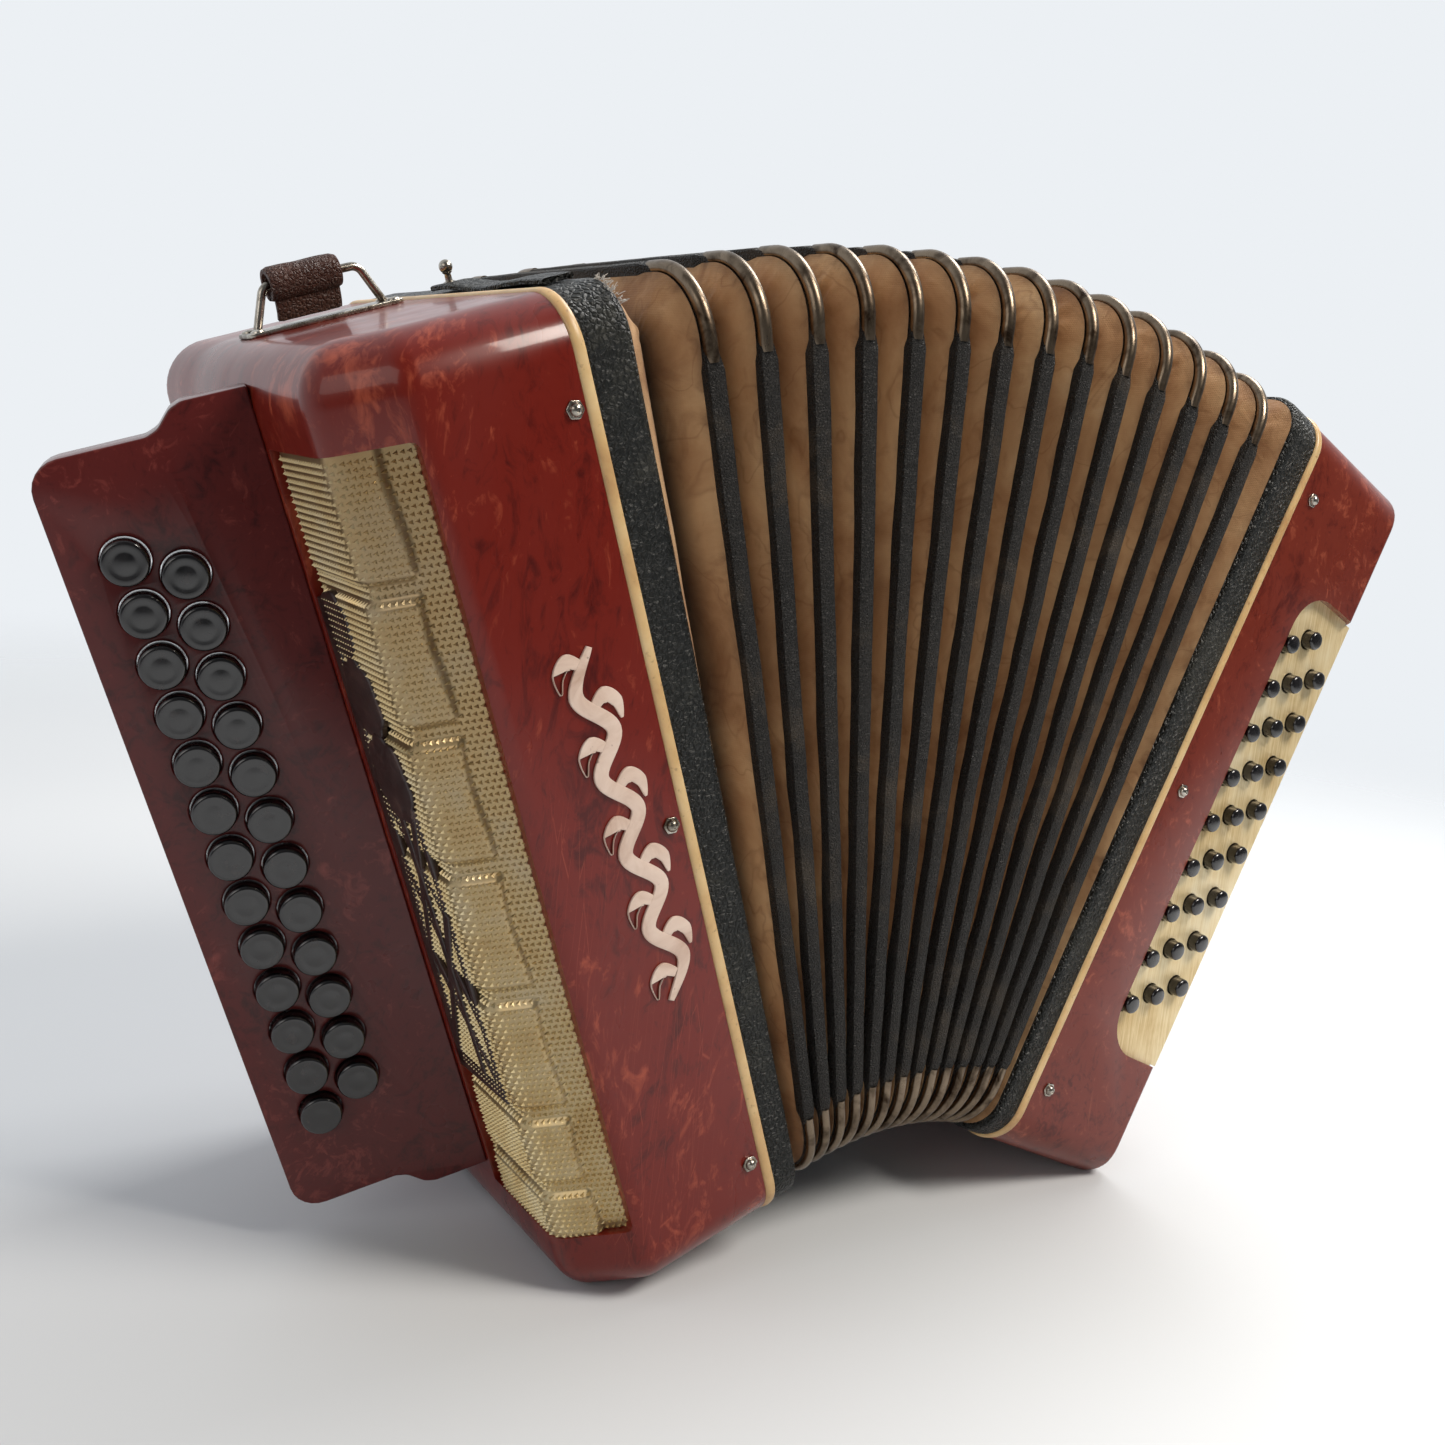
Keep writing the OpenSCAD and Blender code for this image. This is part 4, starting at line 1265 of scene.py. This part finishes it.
BAR = BRACKET @ shift(0, 0, BRACKET_H)
strap = leather_loop("strap_end", arc(0, 0, 4.5, -75, 262, 40), -9.5, 15.5, 2.6, BAR, 2.0)
keeper = leather_loop("strap_keeper", [(-1.0, -5.2), (-0.4, -7.4), (0.4, -9.6), (1.8, -11.6)],
                      -8.5, 14.5, 2.2, BAR, 5.0)
dress(join("strap_roll", [strap, keeper]), "treble", BROWN_LEATHER, ["strap_loop"])

# ---------------------------------------------------------------- closing strap on top of the band
strap_x = band_x(0.48)(CASE_H)
top_path = [(y, CASE_H + 1.3 + 0.9 * math.sin((y + 72) * 0.10) * (0.4 if y < -40 else 1.0))
            for y in np.linspace(-70, 16, 44)]
closing = leather_loop("closing_strap", top_path, strap_x - 6.0, strap_x + 5.0, 1.9, TREBLE, 7.0)
dress(closing, "treble", BLACK_CLOTH)
stud = [(0, -1.0), (3.2, -1.0), (3.4, 0.3), (1.3, 1.2), (1.1, 3.4), (1.9, 4.2)]
stud += [(2.4 * math.cos(math.radians(a)), 6.0 + 2.4 * math.sin(math.radians(a)))
         for a in range(-50, 91, 14)]
obj = lathe("closing_stud", stud, TREBLE @ shift(strap_x, 10.0, CASE_H + 2.4), 28, 50)
dress(obj, "treble", NICKEL)

# ---------------------------------------------------------------- hand strap on the bass side
S_LOW, S_HIGH, S_RISE, S_W = 46.0, 294.0, 22.0, 58.0
S_ROWS, S_COLUMNS = 96, 20
HAND = BASS @ shift(CASE_W, 20, 0)
rows = []
for i in range(S_ROWS + 1):
    z = S_LOW - 8 + (S_HIGH - S_LOW + 16) * i / S_ROWS
    v = abs(z - (S_HIGH + S_LOW) / 2) / ((S_HIGH - S_LOW) / 2)
    lift = (S_RISE - 3.2) * (0.5 + 0.5 * math.cos(math.pi * min(v, 1.0))) ** 0.72 + 1.9
    width = S_W / 2 * (1.0 - 0.12 * min(v, 1.0) ** 2)
    pad = 1.5 + 1.6 * (1 - min(v, 1.0) ** 4)
    row = []
    cross_y = np.linspace(-1, 1, S_COLUMNS + 1)
    for sgn, ys in ((1, cross_y), (-1, cross_y[::-1])):
        for y in ys:
            edge_fall = (1 - abs(y) ** 6)
            x = lift + (sgn * 0.5 * pad * (0.35 + 0.65 * edge_fall)) - 1.4 * y * y * (1 - v * 0.8)
            x += 0.25 * noise.noise(Vector((y * 2.5, z * 0.06, sgn * 3.0)))
            row.append((max(x, 0.15), y * width, z))
    rows.append(row)
dress(bar("hand_strap_leather", rows, HAND), "bass", BROWN_LEATHER, ["hand_strap"])

THREAD = Surface("thread", Roughness=0.7)
twist = THREAD.noise(THREAD.space(), 1400.0, 2.0)
THREAD_CLOTH = THREAD.set(Base_Color=THREAD.ramp(twist, [(0.3, srgb(96, 78, 60)),
                                                         (0.7, srgb(150, 128, 100))]))
stitches = []
for y in (-0.86, 0.86):
    column = round((y + 1) / 2 * S_COLUMNS)
    for i in range(6, S_ROWS - 6, 2):
        a, b = np.array(rows[i][column]), np.array(rows[i + 1][column])
        path = [a + (b - a) * share + np.array([rise, 0, 0])
                for share, rise in ((0.1, 0.036), (0.5, 0.288), (0.9, 0.036))]
        stitches.append(tube("stitch", path, 0.32, HAND, seg=6))
dress(join("hand_strap_stitching", stitches), "bass", THREAD_CLOTH)
parts = []
screw = [(0, -2), (1.6, -2), (1.6, 0.2), (3.4, 0.5), (3.2, 1.2), (2.2, 1.9), (0.5, 2.1), (0.4, 1.6),
         (0, 1.6)]
for z in (S_LOW - 4, S_HIGH + 4):
    outline = rounded_box(-S_W / 2 + 3, S_W / 2 - 3, z - 8, z + 8, 4.0, 6)
    parts.append(cutout("clamp", [outline], 1.4, 0.4,
                        HAND @ shift(3.9, 0, 0) @ turn(90, "Y") @ turn(90, "Z")))
    for y in (-18, 18):
        parts.append(lathe("screw", screw, HAND @ shift(3.8, y, z) @ turn(90, "Y"), 24, 40))
dress(join("hand_strap_clamps", parts), "bass", NICKEL)

# ---------------------------------------------------------------- floor, light and camera
floor_mesh = bpy.data.meshes.new("floor")
HALF = 2.5
floor_mesh.from_pydata([(-HALF, -HALF, 0), (HALF, -HALF, 0), (HALF, HALF, 0), (-HALF, HALF, 0)], [],
                       [(0, 1, 2, 3)])
floor = new_object("floor", floor_mesh)
FLOOR = Surface("floor", Roughness=0.7)
FLOOR.shader.inputs["Specular IOR Level"].default_value = 0.15
haze = FLOOR.noise(FLOOR.space(), 1.5, 2.0)
floor_material = FLOOR.set(Base_Color=FLOOR.ramp(haze, [(0.3, srgb(208, 211, 215)),
                                                        (0.7, srgb(212, 215, 218))]))
# The floor fades into the backdrop, so that no horizon shows
away = FLOOR.node("VectorMath", 1, {"operation": "LENGTH"}, i0=FLOOR.coords)
fade = FLOOR.node("MapRange", 0, {"interpolation_type": "SMOOTHSTEP"}, i0=away, i1=0.55, i2=1.7,
                  i3=0.0, i4=1.0)
clear = FLOOR.tree.nodes.new("ShaderNodeBsdfTransparent")
blend = FLOOR.tree.nodes.new("ShaderNodeMixShader")
FLOOR.tree.links.new(fade, blend.inputs[0])
FLOOR.tree.links.new(FLOOR.shader.outputs[0], blend.inputs[1])
FLOOR.tree.links.new(clear.outputs[0], blend.inputs[2])
target = next(n for n in FLOOR.tree.nodes if n.type == "OUTPUT_MATERIAL")
FLOOR.tree.links.new(blend.outputs[0], target.inputs[0])
floor_mesh.materials.append(floor_material)

bpy.context.scene.view_settings.view_transform = "Standard"

# A pale backdrop behind the object, and a dimmer room in front of it
world = bpy.data.worlds.new("studio")
world.use_nodes = True
tree = world.node_tree
background = tree.nodes["Background"]
where = tree.nodes.new("ShaderNodeTexCoord")
parts_of = tree.nodes.new("ShaderNodeSeparateXYZ")
fall = tree.nodes.new("ShaderNodeMapRange")
fall.inputs[1].default_value, fall.inputs[2].default_value = -0.45, 0.35
fall.inputs[3].default_value, fall.inputs[4].default_value = 0.13, 1.0
tree.links.new(where.outputs["Generated"], parts_of.inputs[0])
tree.links.new(parts_of.outputs["Y"], fall.inputs[0])
tree.links.new(fall.outputs[0], background.inputs["Strength"])
background.inputs["Color"].default_value = srgb(236, 240, 244)
bpy.context.scene.world = world


def area_light(name, place, aim, size, power, colour):
    light = bpy.data.lights.new(name, "AREA")
    light.shape = "RECTANGLE"
    light.size, light.size_y = size
    light.energy = power
    light.color = colour
    obj = new_object(name, light)
    obj.location = place
    obj.rotation_euler = (Vector(aim) - Vector(place)).to_track_quat("-Z", "Y").to_euler()


area_light("key", (0.75, -1.25, 1.75), (0.0, 0.0, 0.15), (0.7, 0.7), 40.0, (1.0, 0.93, 0.84))
area_light("fill", (-1.9, -0.9, 1.0), (0.0, 0.0, 0.2), (1.2, 1.0), 7.0, (1.0, 0.95, 0.90))
area_light("top", (1.0, 0.25, 1.7), (0.0, 0.0, 0.1), (0.7, 0.7), 24.0, (1.0, 0.98, 0.95))

camera_data = bpy.data.cameras.new("camera")
camera_data.lens = 37.06
camera_data.sensor_width = 36.0
camera = new_object("camera", camera_data)
camera.location = (-0.3602, -0.4929, 0.2993)
camera.rotation_euler = [math.radians(a) for a in (79.664, -5.761, -33.599)]
bpy.context.scene.camera = camera
